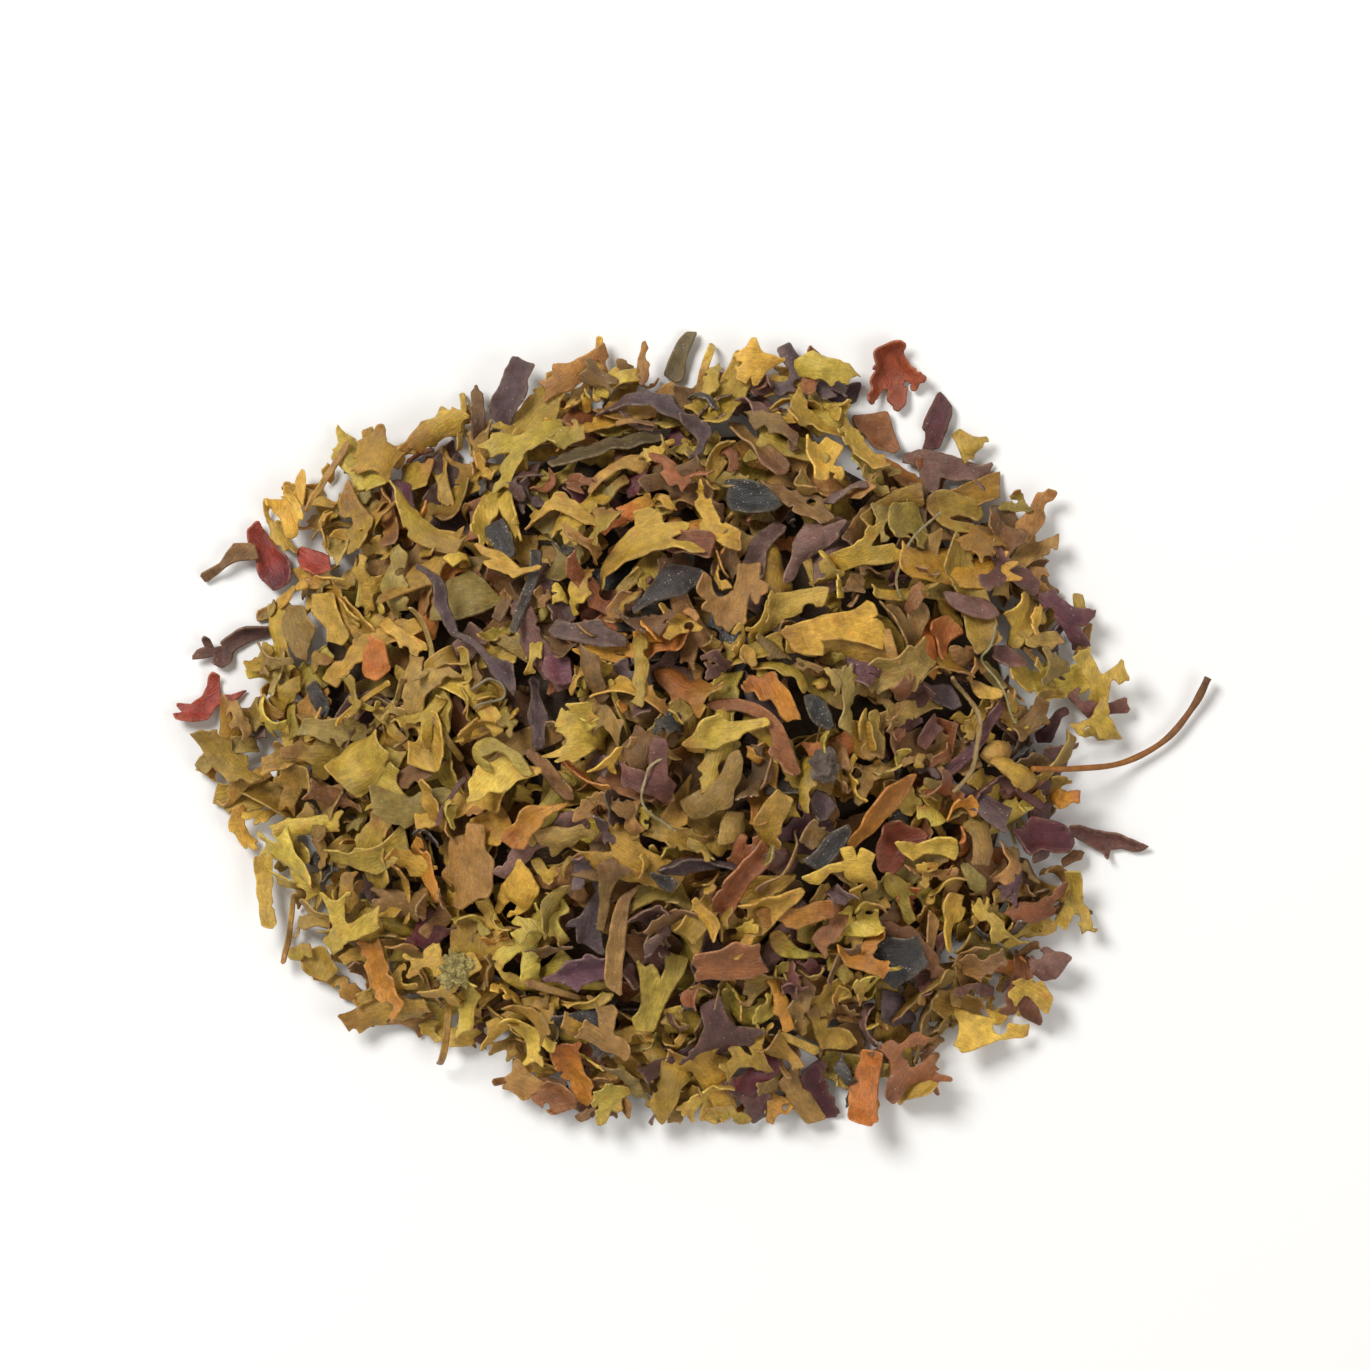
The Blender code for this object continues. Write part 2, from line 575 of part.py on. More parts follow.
def smooth_route(points, steps):
    """Points along a smooth curve through the given ones."""
    route = np.array([points[0], *points, points[-1]], float)
    out = []
    for a, b, c, d in zip(route, route[1:], route[2:], route[3:]):
        for t in np.arange(steps) / steps:
            bend = (2 * a - 5 * b + 4 * c - d) * t**2 + (3 * b - a - 3 * c + d) * t**3
            out.append(0.5 * (2 * b + (c - a) * t + bend))
    return [*out, route[-1]]


def make_lump(name, heights, collection):
    """A rough lump of crust, set down on what lies under it."""
    x, y, size, colour = LUMPS[name]
    shape = bmesh.new()
    bmesh.ops.create_icosphere(shape, subdivisions=2, radius=size / 2 * MM)
    for vertex in shape.verts:
        vertex.co *= 1 + LUMP_ROUGHNESS * noise.noise(vertex.co * 900 / size + Vector((x, y, 0)))
        vertex.co.z *= 0.62
    mesh = bpy.data.meshes.new(name)
    shape.to_mesh(mesh)
    shape.free()
    made = new_object(name, mesh, colour, collection)
    points = np.array([v.co for v in mesh.vertices]) / MM + (x, y, 0)
    z = heights.rest_height(points, 100)
    heights.add(points + (0, 0, z))
    made.location = Vector((x, y, z)) * MM
    return made


def main():
    for item in list(bpy.data.objects):
        bpy.data.objects.remove(item)
    collection = bpy.context.scene.collection
    heights = HeightMap()
    bed = make_bed(settled_bed(heights), collection)
    trees = [tree_of(bed)]
    for name in LUMPS:
        trees.append(lift_clear(make_lump(name, heights, collection), trees))
    for name, (scrap, rotation, place) in settled_singles(heights).items():
        colour = SINGLES[name][-1]
        item = scrap_object(name, scrap, rotation, place, smoothed(scrap.outline), colour, collection)
        trees.append(lift_clear(item, trees))
    lift_clear(make_stem(collection), trees)
    for item in collection.objects:
        item.location += Vector((*CENTRE_SHIFT, 0)) * MM


main()
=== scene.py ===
"""The looks of a heap of dried, cut Irish moss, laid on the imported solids.

The scraps of the CAD model are made again here from the same rows and the same seeds, with curled rims,
thin edges, and outlines that are finer or new. Those of the bed lie where the CAD model has them. The named
ones lie near there: each leans a little, so that it rests on the others. Smaller scraps fill the gaps under,
between and over them.
Lengths are in millimetres until a mesh is made.
"""

import math
import random

import bmesh
import bpy
import numpy as np
from mathutils import Matrix, Vector, noise
from mathutils.geometry import delaunay_2d_cdt


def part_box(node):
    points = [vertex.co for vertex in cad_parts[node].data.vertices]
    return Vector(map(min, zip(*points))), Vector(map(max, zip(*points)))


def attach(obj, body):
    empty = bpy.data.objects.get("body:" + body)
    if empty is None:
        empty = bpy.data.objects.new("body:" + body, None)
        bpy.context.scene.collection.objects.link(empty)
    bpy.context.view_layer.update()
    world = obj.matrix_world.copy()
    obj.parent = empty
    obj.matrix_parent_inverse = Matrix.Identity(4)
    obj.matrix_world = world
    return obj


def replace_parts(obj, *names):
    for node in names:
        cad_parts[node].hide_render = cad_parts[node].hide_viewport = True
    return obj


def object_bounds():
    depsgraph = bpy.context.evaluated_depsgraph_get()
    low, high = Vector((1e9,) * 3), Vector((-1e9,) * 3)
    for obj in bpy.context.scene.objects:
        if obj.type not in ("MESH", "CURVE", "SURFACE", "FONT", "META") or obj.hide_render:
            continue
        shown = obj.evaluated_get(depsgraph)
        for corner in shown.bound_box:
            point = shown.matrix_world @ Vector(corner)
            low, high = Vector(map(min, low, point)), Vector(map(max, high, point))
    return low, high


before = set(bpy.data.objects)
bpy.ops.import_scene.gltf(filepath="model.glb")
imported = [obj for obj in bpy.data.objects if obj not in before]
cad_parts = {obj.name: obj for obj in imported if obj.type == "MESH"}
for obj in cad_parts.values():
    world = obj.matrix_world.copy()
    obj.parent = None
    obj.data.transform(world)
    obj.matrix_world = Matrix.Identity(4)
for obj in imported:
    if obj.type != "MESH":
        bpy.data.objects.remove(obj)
cad_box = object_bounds()

MM = 0.001

# ---- The heap, as in the CAD model ----

# The heap's radius at twelve angles from +X, its height in the middle, how its sides fall, and the steepest
# slope that a scrap on it leans along with.
EDGE_RADII = (30.0, 29.5, 27.5, 25.0, 25.0, 29.0, 29.0, 28.0, 24.5, 26.0, 28.5, 30.7)
HEAP_HEIGHT = 12.0
FALL_POWER = 1.9
STEEPEST_LEAN = 1.0
SLOPE_STEP = 1.5
# The mound inside the bed: how much lower and smaller than the heap it is.
MOUND_DEPTH = 3.0
MOUND_SHARE = 0.86
THICKNESS = 0.6
# The bed's scraps, and the share of the heap's area that they are dropped on.
BED_SCRAPS = 200
BED_SEED = 23
BED_LENGTHS = (5.0, 8.6)
BED_WIDTHS = (1.7, 3.0)
BED_REACH = 0.94
# The height maps: the size of a cell, and how far the map goes from the middle.
CELL, FINE_CELL = 0.5, 0.35
MAP_HALF = 48.0
# How often a scrap is dropped before the best place is kept, and how far a named one may be nudged.
TRIES = 14
SINGLE_TRIES = 60
NUDGE = 0.8
# A scrap rests at the height that clears this percentage of what is under it.
BED_HELD = 96
SINGLE_HELD = 98
LAID_HELD = 92
TILT = math.radians(12)
# The two lumps: their place and size, how uneven and how flat they are, and the grain of their dents.
LUMPS = {"lichen_crumb": (-14.0, -16.4, 3.3), "grey_knob": (11.9, -2.0, 3.0)}
LUMP_ROUGH, LUMP_FLAT = 0.28, 0.62
LUMP_GRAIN = 900
# What is added to x and y here to reach the shared frame, where the CAD model's box is centred.
CENTRE_SHIFT = (-2.454, -0.537)
# What is made here stays inside the solids' own box.
BOX_LOW, BOX_HIGH = (np.array(corner) / MM - (*CENTRE_SHIFT, 0) for corner in cad_box)

# Each named scrap: its kind, place, heading, length, width and number of lobes or corners, then its bow in
# its own plane, curl, cup and twist in degrees, and its colour.
SINGLES = {
    "dark_gill": ("leaf", 6.3, 16.1, 5, 5.0, 2.2, 0, 0, -30, 40, 10, "slate"),
    "plum_brown_blade": ("chip", -15.4, 17.9, 105, 4.8, 3.2, 5, 0, 30, 30, 0, "plum_brown"),
    "olive_tongue": ("leaf", -13.8, 16.4, 97, 6.4, 2.6, 0, 10, 35, 50, 10, "olive"),
    "slate_tail": ("strap", -9.1, 9.2, 268, 6.3, 1.3, 0, 15, 20, 50, 20, "slate"),
    "speckled_strap": ("strap", -10.3, 13.4, 297, 4.4, 2.0, 0, 8, -30, 60, 0, "slate"),
    "broad_khaki_blade": ("chip", -12.4, 10.0, 15, 6.4, 3.5, 5, 0, -28, -25, 0, "khaki"),
    "gold_prong": ("fork", -9.4, 11.4, 345, 5.4, 1.8, 3, 0, 20, 30, 20, "gold"),
    "plum_chip": ("chip", -7.0, 5.0, 0, 3.0, 2.4, 4, 0, 20, 20, 0, "plum"),
    "mauve_pod": ("leaf", -5.1, 6.7, 352, 5.7, 2.0, 0, -12, -50, 60, 0, "mauve"),
    "purple_ribbon": ("strap", -12.4, 7.5, 308, 11.5, 1.5, 0, 26, 40, 30, 60, "plum_grey"),
    "olive_wave": ("strap", -0.4, 12.3, 18, 7.6, 2.2, 0, -30, -70, 30, 20, "olive"),
    "slate_shield": ("chip", 0.8, 9.7, 222, 5.4, 3.0, 4, 0, -15, -12, 10, "slate"),
    "grey_green_strap": ("strap", -4.3, 19.8, 25, 8.6, 2.1, 0, 4, -12, 40, 0, "grey_green"),
    "dark_arch": ("strap", -1.0, 22.6, 350, 7.6, 2.0, 0, -38, -110, 50, 30, "plum_grey"),
    "dark_hook": ("strap", 2.0, 20.2, 300, 4.6, 1.5, 0, -60, 50, 40, 30, "plum_grey"),
    "tan_strap": ("strap", 6.6, 19.4, 312, 6.6, 2.2, 0, 8, -25, 50, 10, "tan"),
    "yellow_star": ("fork", 10.8, 19.0, 80, 4.2, 2.2, 4, 0, 30, 40, 0, "gold"),
    "rust_fan": ("fork", 15.2, 20.6, 315, 4.8, 2.4, 2, 0, 40, 40, 0, "rust"),
    "mauve_strap": ("strap", 7.5, 12.2, 60, 6.8, 1.9, 0, -18, -35, 40, 20, "mauve"),
    "mauve_blade": ("chip", 10.8, 12.6, 18, 5.2, 2.8, 5, 0, 30, -30, 0, "mauve"),
    "tan_antler": ("fork", 5.2, 8.3, 255, 7.0, 2.0, 4, 0, -30, 30, 10, "tan"),
    "mauve_antler": ("fork", 21.3, 17.7, 356, 6.6, 2.6, 4, 0, -35, 30, 20, "mauve"),
    "gold_antler": ("fork", 21.8, 14.3, 12, 5.6, 2.6, 3, 0, -30, 40, 0, "olive"),
    "gold_toothed_strap": ("fork", 12.7, 6.9, 10, 7.6, 2.9, 4, 0, -24, 36, 0, "gold"),
    "purple_loop": ("strap", 15.0, 11.0, 20, 7.2, 1.1, 0, 300, 30, 50, 0, "wine"),
    "orange_tee": ("fork", 18.9, 5.8, 262, 4.6, 2.4, 2, 0, 50, 50, 0, "orange"),
    "plum_flake": ("chip", 19.6, 2.2, 340, 3.8, 2.2, 5, 0, 30, 30, 0, "plum_grey"),
    "dark_chip": ("chip", 10.6, 0.8, 300, 3.4, 2.4, 4, 0, 10, 20, 0, "slate"),
    "orange_lump": ("fork", 2.6, 3.9, 340, 4.8, 2.6, 3, 0, 50, -40, 10, "orange"),
    "amber_chip": ("fork", 8.4, 2.6, 115, 4.6, 1.9, 3, 0, -40, 40, 0, "amber"),
    "brown_arch": ("strap", 7.5, 0.9, 325, 8.2, 1.6, 0, -62, -30, 40, 10, "rust"),
    "amber_leaf": ("leaf", 0.9, -3.9, 68, 5.0, 2.0, 0, 10, 30, 50, 0, "amber"),
    "brown_strap": ("strap", -6.5, -1.9, 308, 5.0, 1.7, 0, 10, -20, 50, 0, "brown"),
    "plum_leaf": ("leaf", -7.3, 1.1, 278, 5.0, 1.6, 0, 5, -30, 70, 30, "plum_grey"),
    "toothed_gold": ("fork", -9.6, -4.0, 235, 6.0, 3.2, 4, 0, 30, 30, 0, "gold"),
    "brick_chunk": ("chip", 16.8, -7.0, 30, 4.2, 3.2, 5, 0, 30, 30, 0, "brick"),
    "olive_antler": ("fork", 14.0, 0.2, 250, 6.6, 2.5, 3, 0, -20, 50, 10, "olive"),
    "slate_shard": ("chip", 11.5, -6.9, 58, 4.0, 2.2, 4, 0, 15, 20, 0, "slate"),
    "amber_blade": ("leaf", 15.0, -4.9, 236, 7.0, 2.2, 0, 14, -30, 40, 10, "amber"),
    "yellow_boat": ("leaf", 18.5, -7.6, 350, 5.8, 2.0, 0, -22, 40, 80, 0, "gold"),
    "wine_fold": ("chip", 26.4, -7.5, 352, 5.8, 3.0, 5, 0, 60, 60, 20, "wine"),
    "wine_antler": ("fork", 32.3, -6.9, 357, 5.8, 1.3, 3, 0, 40, 60, 60, "plum_brown"),
    "dark_curl": ("strap", 2.6, -8.8, 350, 6.0, 1.5, 0, 60, 50, 70, 30, "plum_grey"),
    "broad_tan_blade": ("chip", -12.6, -9.0, 98, 6.6, 3.7, 6, 0, 25, -22, 0, "tan"),
    "slate_antler": ("fork", -5.4, -10.9, 88, 6.2, 1.9, 3, 0, 20, 40, 10, "plum_grey"),
    "rust_plate": ("chip", 5.3, -16.1, 4, 5.2, 2.7, 4, 0, -18, 15, 0, "rust"),
    "pink_wing": ("chip", -4.7, -15.8, 22, 5.8, 2.4, 4, 0, 30, 40, 10, "plum"),
    "three_fork": ("fork", 0.3, -17.6, 262, 6.4, 2.3, 3, 0, -25, 30, 0, "gold"),
    "bright_crumple": ("fork", 12.8, -20.0, 300, 5.6, 2.6, 4, 0, 50, 50, 20, "gold"),
    "wine_strip": ("strap", 12.0, -24.6, 282, 4.6, 1.9, 0, 4, -20, 30, 0, "wine"),
    "red_blade": ("leaf", -26.6, 13.0, 300, 5.6, 2.6, 0, 12, 60, 70, 30, "red"),
    "red_antler": ("fork", -31.4, 2.3, 212, 5.4, 1.9, 3, 0, 30, 40, 30, "red"),
    "purple_antler": ("fork", -29.9, 7.5, 204, 6.2, 1.6, 4, 0, 30, 50, 40, "plum_brown"),
    "dark_stick": ("strap", 2.1, 25.9, 66, 3.8, 1.4, 0, 20, -20, 50, 0, "grey_green"),
    "wine_shard": ("chip", 20.2, 22.9, 74, 4.0, 2.0, 4, 0, -15, 20, 0, "wine"),
    "red_crumple": ("fork", 16.2, 25.4, 285, 5.0, 2.8, 3, 0, 70, 60, 20, "brick"),
}

# ---- The looks ----

# The thickness of a scrap, and of the ones that fill the gaps.
SHEET, FILL_SHEET = 0.3, 0.26
# The grid that outlines are drawn on, the distance between a mesh's points, and how far an outline may stray.
GRID = 0.13
FINE, MIDDLE, COARSE = 0.38, 0.5, 0.8
SLACK = 0.02
LEAST_AREA = 0.6
SHARP_CORNER = math.radians(52)
# How wide a scrap's curled rim is, how much the rim waves and rises, and how uneven the whole sheet is.
CURLED_RIM = 0.55
RUFFLE, FILL_RUFFLES = 0.16, (0.05, 0.24)
LIFT, FILL_LIFTS = 0.22, (0.0, 0.34)
CRINKLE = 0.05
# The sheet's thickness at its edge as a share, how far in it grows to the whole, and how round the edge is.
EDGE_SHARE = 0.6
EDGE_WIDTH = 0.4
EDGE_ROUND = 0.3
# How often a filling scrap is dropped, and what it costs there to cover a scrap that should be seen.
FILL_TRIES = 24
COVER_COST = 9.0
# How many leans are tried for each named scrap, the spread of the last, and how far it is let down or raised.
SINGLE_LOOKS = 16
SINGLE_LEAN = math.radians(14)
LET_DOWN, RAISED = 2.2, 0.3
# A small scrap bends as if it were this long, across and along, so that it doesn't roll up.
LEAST_CUP_REACH, LEAST_CURL_REACH, LEAST_TWIST_REACH = 1.9, 1.5, 2
# The fill deep in the gaps: its seed, share of the heap's area, sizes, tilt, depths, curliness, and painted
# shade.
UNDER_SEED = 202
UNDER_REACH = 0.9
UNDER_SIZES = (4.5, 8.0)
UNDER_TILT = 0.35
UNDER_DEPTHS = (1.2, 3.2)
UNDER_CURLY = 0.3
DEEP_PAINTED_SHADE = (0.78, 0.66, 0.48)
# Stands in where only a scrap's bends count, because its outline is drawn in another way.
ANY_OUTLINE = ((0, 0), (1, 0), (0, 1))
# How often each kind of filling scrap turns up, and which of them start as a polygon.
FILL_KINDS = {"frond": 30, "toothed": 26, "star": 16, "strap": 12, "chip": 8, "shred": 8}
POLYGON_KINDS = ("star", "chip", "toothed")
BED_LOOK_SEED = 101
# How often each colour turns up among the scraps that aren't named. All but the seaweed's usual ones are
# commoner towards +X.
BED_COLOURS = {
    "gold": 22, "olive": 30, "khaki": 9, "tan": 12, "amber": 4, "orange": 1, "rust": 4, "brown": 6,
    "plum_brown": 2.5, "plum_grey": 2.5, "mauve": 2, "slate": 1.5, "wine": 1.5, "plum": 0.7, "red": 0,
}
USUAL_COLOURS = ("gold", "olive", "khaki")
RISE_TOWARDS_X = 0.032
LEAST_WEIGHT = 0.05
# The dark core, whose colour is painted shade for the depth of the gaps: how far under the CAD model's mound
# it lies, how much of the mound's width it fills, its rings and sectors, and that painted shade.
CORE_DEPTH = 0.4
CORE_FIT = 0.97
CORE_RINGS, CORE_SECTORS = 14, 72
CORE_PAINTED_SHADE = (0.05, 0.026, 0.008)
# How much lighter or darker each scrap is than its colour, and how much warmer or colder.
VALUES = (0.6, 1.1)
WARMTH = 0.09
# The height of a material's bump, in metres.
BLADE_BUMP = 0.00022
CRUST_BUMP = 0.0004

# Each kind of scrap: its colour, the colour that it turns to in patches and towards one end, how many pale
# specks it has, its roughness, and how much light passes through it. Colours are linear.
PALETTE = {
    "olive": ((0.36, 0.220, 0.026), (0.26, 0.12, 0.020), 0.25, 0.48, 0.25),
    "gold": ((0.52, 0.335, 0.045), (0.34, 0.16, 0.024), 0.15, 0.45, 0.3),
    "khaki": ((0.31, 0.195, 0.042), (0.23, 0.115, 0.03), 0.5, 0.58, 0.2),
    "tan": ((0.29, 0.145, 0.034), (0.19, 0.080, 0.028), 0.45, 0.58, 0.2),
    "amber": ((0.47, 0.205, 0.018), (0.33, 0.095, 0.014), 0.15, 0.46, 0.3),
    "orange": ((0.42, 0.125, 0.022), (0.42, 0.22, 0.028), 0.2, 0.5, 0.25),
    "rust": ((0.24, 0.082, 0.024), (0.15, 0.050, 0.022), 0.4, 0.54, 0.15),
    "brown": ((0.165, 0.078, 0.022), (0.11, 0.048, 0.022), 0.5, 0.58, 0.12),
    "brick": ((0.24, 0.048, 0.015), (0.14, 0.026, 0.020), 0.25, 0.44, 0.2),
    "red": ((0.30, 0.042, 0.024), (0.14, 0.024, 0.030), 0.2, 0.42, 0.25),
    "wine": ((0.095, 0.018, 0.022), (0.055, 0.016, 0.022), 0.35, 0.5, 0.1),
    "plum": ((0.112, 0.038, 0.050), (0.085, 0.034, 0.038), 0.45, 0.52, 0.12),
    "plum_brown": ((0.120, 0.045, 0.035), (0.16, 0.058, 0.032), 0.5, 0.58, 0.1),
    "plum_grey": ((0.084, 0.046, 0.046), (0.11, 0.050, 0.040), 0.6, 0.58, 0.06),
    "mauve": ((0.165, 0.082, 0.062), (0.15, 0.066, 0.040), 0.6, 0.58, 0.1),
    "slate": ((0.036, 0.031, 0.028), (0.030, 0.022, 0.018), 0.8, 0.52, 0.03),
    "grey_green": ((0.135, 0.104, 0.042), (0.10, 0.064, 0.030), 0.5, 0.58, 0.1),
}

# The outlines of scraps that the photo shows well, drawn from it: x,y pairs in steps of TRACE_STEP
# millimetres. y goes down the picture, from the upper left corner of one of the FRAMES, which are places in
# the heap. The named ones are moved to their CAD nodes, so that only their shape counts.
TRACE_STEP = 0.10715
FRAMES = {
    "A": (-17.85, 25.55), "B": (-1.05, 25.55), "C": (15.75, 25.55), "D": (-17.85, 10.85), "E": (-1.05, 10.85),
    "F": (15.75, 10.85), "G": (-17.85, -3.85), "H": (-1.05, -3.85), "I": (15.75, -3.85), "J": (-34.65, 17.85),
}
NAMED_OUTLINES = {
    "grey_green_strap": "88,68 104,57 130,43 150,33 159,29 164,40 157,45 143,52 125,60 108,69 92,75",
    "plum_brown_blade": "36,49 37,56 42,60 33,64 30,70 29,83 27,96 20,97 17,85 13,74 13,67 18,64",
    "olive_tongue": (
        "34,62 37,70 43,77 52,81 46,92 43,106 40,113 33,114 25,108 17,100 19,95 29,98 27,86 30,73"
    ),
    "speckled_strap": "59,103 64,100 72,98 76,105 79,113 80,123 74,126 66,118 60,110",
    "slate_tail": (
        "80,119 88,118 89,130 87,141 85,150 82,159 79,167 75,182 72,182 74,170 76,157 79,147 82,133"
    ),
    "broad_khaki_blade": "48,121 56,127 64,135 73,143 60,152 42,158 24,158 26,148 33,140 33,129",
    "gold_prong": (
        "52,116 61,122 72,124 80,132 85,137 96,134 99,136 88,140 80,144 78,141 64,138 60,132 69,130 "
        "60,127"
    ),
    "dark_arch": (
        "122,30 130,22 142,17 157,21 170,20 173,27 180,31 189,32 188,40 176,37 163,35 157,29 148,34 "
        "139,27 130,28 129,38 125,37 122,33"
    ),
    "dark_hook": "8,37 20,37 33,44 35,50 29,57 27,62 18,69 17,68 24,60 25,54 20,48 11,42",
    "tan_strap": "57,32 61,38 70,50 83,59 94,69 93,76 87,83 83,81 70,70 60,62 50,52 49,42 53,35",
    "yellow_star": (
        "90,46 96,52 101,50 106,52 113,45 118,48 125,52 119,60 116,65 121,68 121,74 118,78 113,76 "
        "117,72 112,69 107,77 101,78 97,77 98,68 95,62 92,56"
    ),
    "rust_fan": "131,36 144,34 156,32 160,48 163,60 159,62 150,59 144,56 140,48 135,45",
    "dark_gill": "50,79 64,77 74,78 85,85 90,90 83,96 70,101 60,101 55,94 54,85",
    "dark_stick": "30,-18 39,-19 33,-6 30,13 26,14 16,8 21,-4",
    "mauve_strap": "90,103 96,109 93,116 85,125 80,135 78,147 76,157 62,157 65,140 69,128 76,117 83,110",
    "mauve_blade": (
        "99,110 112,112 125,110 120,117 118,122 108,128 97,134 92,137 86,148 80,150 79,143 84,135 "
        "90,120"
    ),
    "wine_shard": "43,6 51,16 50,26 43,43 32,44 34,37 34,32 32,30 35,22",
    "mauve_antler": (
        "21,60 29,58 40,59 60,64 71,66 79,62 76,69 84,72 76,75 81,88 74,84 64,77 51,78 43,76 42,85 "
        "40,90 27,85 31,76 29,69 19,66"
    ),
    "gold_antler": (
        "29,100 34,95 43,93 56,97 68,99 70,108 65,114 60,110 50,110 43,113 45,116 60,119 57,127 46,126 "
        "37,118 30,108"
    ),
    "olive_wave": (
        "-1,115 7,110 6,100 15,99 22,104 24,110 40,109 40,114 28,121 34,124 43,124 52,131 44,134 30,129 "
        "10,133 0,134 -17,140 -18,150 -23,146 -22,134 -15,123"
    ),
    "slate_shield": "179,119 204,126 196,137 186,146 171,149 158,158 156,154 163,144 171,130",
    "mauve_pod": "92,37 99,30 110,33 125,29 131,35 143,40 143,46 133,48 120,47 106,44 96,42",
    "plum_chip": "95,47 103,44 111,47 114,63 108,64 102,64 93,57",
    "purple_ribbon": (
        "18,-8 22,-7 28,-3 34,1 38,10 38,20 42,30 44,37 52,40 60,45 69,54 79,56 88,59 87,68 84,80 80,74 "
        "74,70 69,65 65,59 59,50 50,43 40,38 34,29 29,18 29,6 25,-1 20,-5"
    ),
    "plum_leaf": "92,60 98,64 98,74 103,84 107,92 106,103 106,111 98,112 96,101 92,91 93,80 92,70 89,66",
    "brown_strap": "87,106 96,110 104,114 112,123 119,131 119,138 113,137 104,129 97,120 88,111",
    "toothed_gold": (
        "58,126 68,120 76,117 80,128 88,128 96,129 97,132 88,135 79,137 77,140 70,145 60,144 54,150 "
        "46,152 48,148 46,140 50,133 51,127"
    ),
    "tan_antler": (
        "64,0 78,0 78,11 84,15 84,20 79,22 77,28 74,24 73,18 70,22 69,33 70,38 66,42 63,38 58,44 54,40 "
        "50,40 47,32 38,29 38,26 42,24 34,19 31,14 34,6 42,10 45,18 50,22 56,21 60,17 63,9"
    ),
    "gold_toothed_strap": (
        "89,32 101,28 120,23 135,21 144,17 148,14 152,16 154,23 151,25 146,24 153,26 159,28 160,33 "
        "156,35 161,39 157,42 154,49 148,47 140,42 130,39 122,40 114,40 115,44 114,51 106,50 96,47 "
        "93,40 88,34"
    ),
    "orange_lump": (
        "5,49 12,48 23,47 29,54 33,54 40,58 45,61 52,57 53,60 44,66 43,68 54,67 54,70 45,74 41,79 46,85 "
        "38,90 35,83 30,76 20,75 18,70 10,64 5,54"
    ),
    "brown_arch": (
        "43,77 48,74 60,73 72,75 83,80 91,88 95,97 100,108 104,121 97,124 92,122 90,115 82,109 86,103 "
        "85,95 80,88 70,82 60,80 50,81"
    ),
    "amber_chip": (
        "76,73 81,71 85,64 88,64 91,67 100,63 103,63 104,68 111,76 114,83 118,92 112,92 108,94 104,90 "
        "102,84 98,79 92,81 89,81 87,75 80,76"
    ),
    "amber_leaf": "31,112 29,120 29,135 28,147 18,151 10,147 9,142 15,133 22,124 28,116",
    "dark_chip": "114,74 119,73 126,76 131,85 134,94 129,96 118,90 116,82",
    "olive_antler": (
        "132,73 136,70 141,77 147,79 146,74 152,72 154,77 152,85 157,90 156,104 150,101 148,105 143,103 "
        "140,98 142,93 137,90 133,83"
    ),
    "orange_tee": "12,44 20,38 34,33 40,34 48,40 49,43 40,48 36,56 35,68 34,72 31,65 28,54 26,47 18,46",
    "plum_flake": "25,72 32,74 40,72 48,72 52,79 54,86 50,88 42,86 30,83 25,78",
    "broad_tan_blade": (
        "49,20 61,21 60,29 61,37 66,43 66,52 66,60 63,67 57,68 48,74 43,77 36,76 38,70 38,65 34,60 "
        "32,65 25,58 31,50 32,40 34,32 44,29 48,26"
    ),
    "slate_antler": (
        "116,38 119,37 123,43 125,50 128,62 128,70 124,78 124,88 128,95 121,94 115,90 106,86 106,74 "
        "98,74 101,70 109,68 114,62 117,56 121,51"
    ),
    "pink_wing": (
        "91,118 101,114 108,105 120,101 123,97 133,98 148,96 143,106 133,115 124,119 118,122 116,127 "
        "108,121 102,119"
    ),
    "slate_shard": "129,13 131,20 125,31 120,39 113,46 106,43 99,38 108,33 113,25 120,19",
    "amber_blade": "64,1 58,12 44,27 35,39 22,52 20,46 25,27 32,10 44,4",
    "rust_plate": (
        "33,105 42,104 56,96 64,97 74,96 76,105 80,114 85,122 76,124 58,126 44,126 38,128 36,123 38,119 "
        "33,114"
    ),
    "three_fork": (
        "16,101 32,104 31,112 25,126 21,140 18,156 6,157 2,148 6,140 4,128 0,118 -3,108 4,113 8,110 "
        "12,114 16,120 18,112"
    ),
    "dark_curl": "10,30 20,29 33,31 43,35 56,34 70,34 77,37 68,41 56,45 42,49 30,50 20,45 15,41 11,37",
    "bright_crumple": (
        "94,124 100,117 104,126 106,135 113,135 113,143 130,143 138,150 130,157 111,157 104,144 100,133"
    ),
    "brick_chunk": "1,16 13,11 20,17 29,19 35,23 32,33 23,33 18,45 10,51 2,47 0,34",
    "yellow_boat": "5,27 15,30 26,34 35,26 44,25 52,28 54,38 52,44 42,40 30,40 20,45 13,38",
    "wine_fold": "70,27 84,27 93,19 106,22 118,26 123,33 125,40 120,47 110,46 98,43 87,46 80,47 77,40",
    "wine_antler": (
        "127,18 135,18 145,22 156,23 170,26 183,33 176,37 164,35 156,37 153,47 150,40 143,35 137,31 "
        "130,26"
    ),
    "red_blade": "56,24 64,18 70,29 79,38 85,43 90,56 89,62 76,67 70,62 63,54 62,44 57,34",
    "red_antler": (
        "33,120 38,125 39,140 48,140 58,135 50,143 38,147 32,157 23,160 10,157 8,153 15,151 10,145 "
        "20,147 28,140 31,130"
    ),
    "purple_antler": (
        "94,76 88,80 76,82 68,86 55,82 47,89 38,97 40,100 33,101 29,92 24,87 25,93 28,99 22,101 18,106 "
        "26,106 33,105 32,112 38,116 44,113 47,103 60,96 70,94 80,87 93,82"
    ),
}
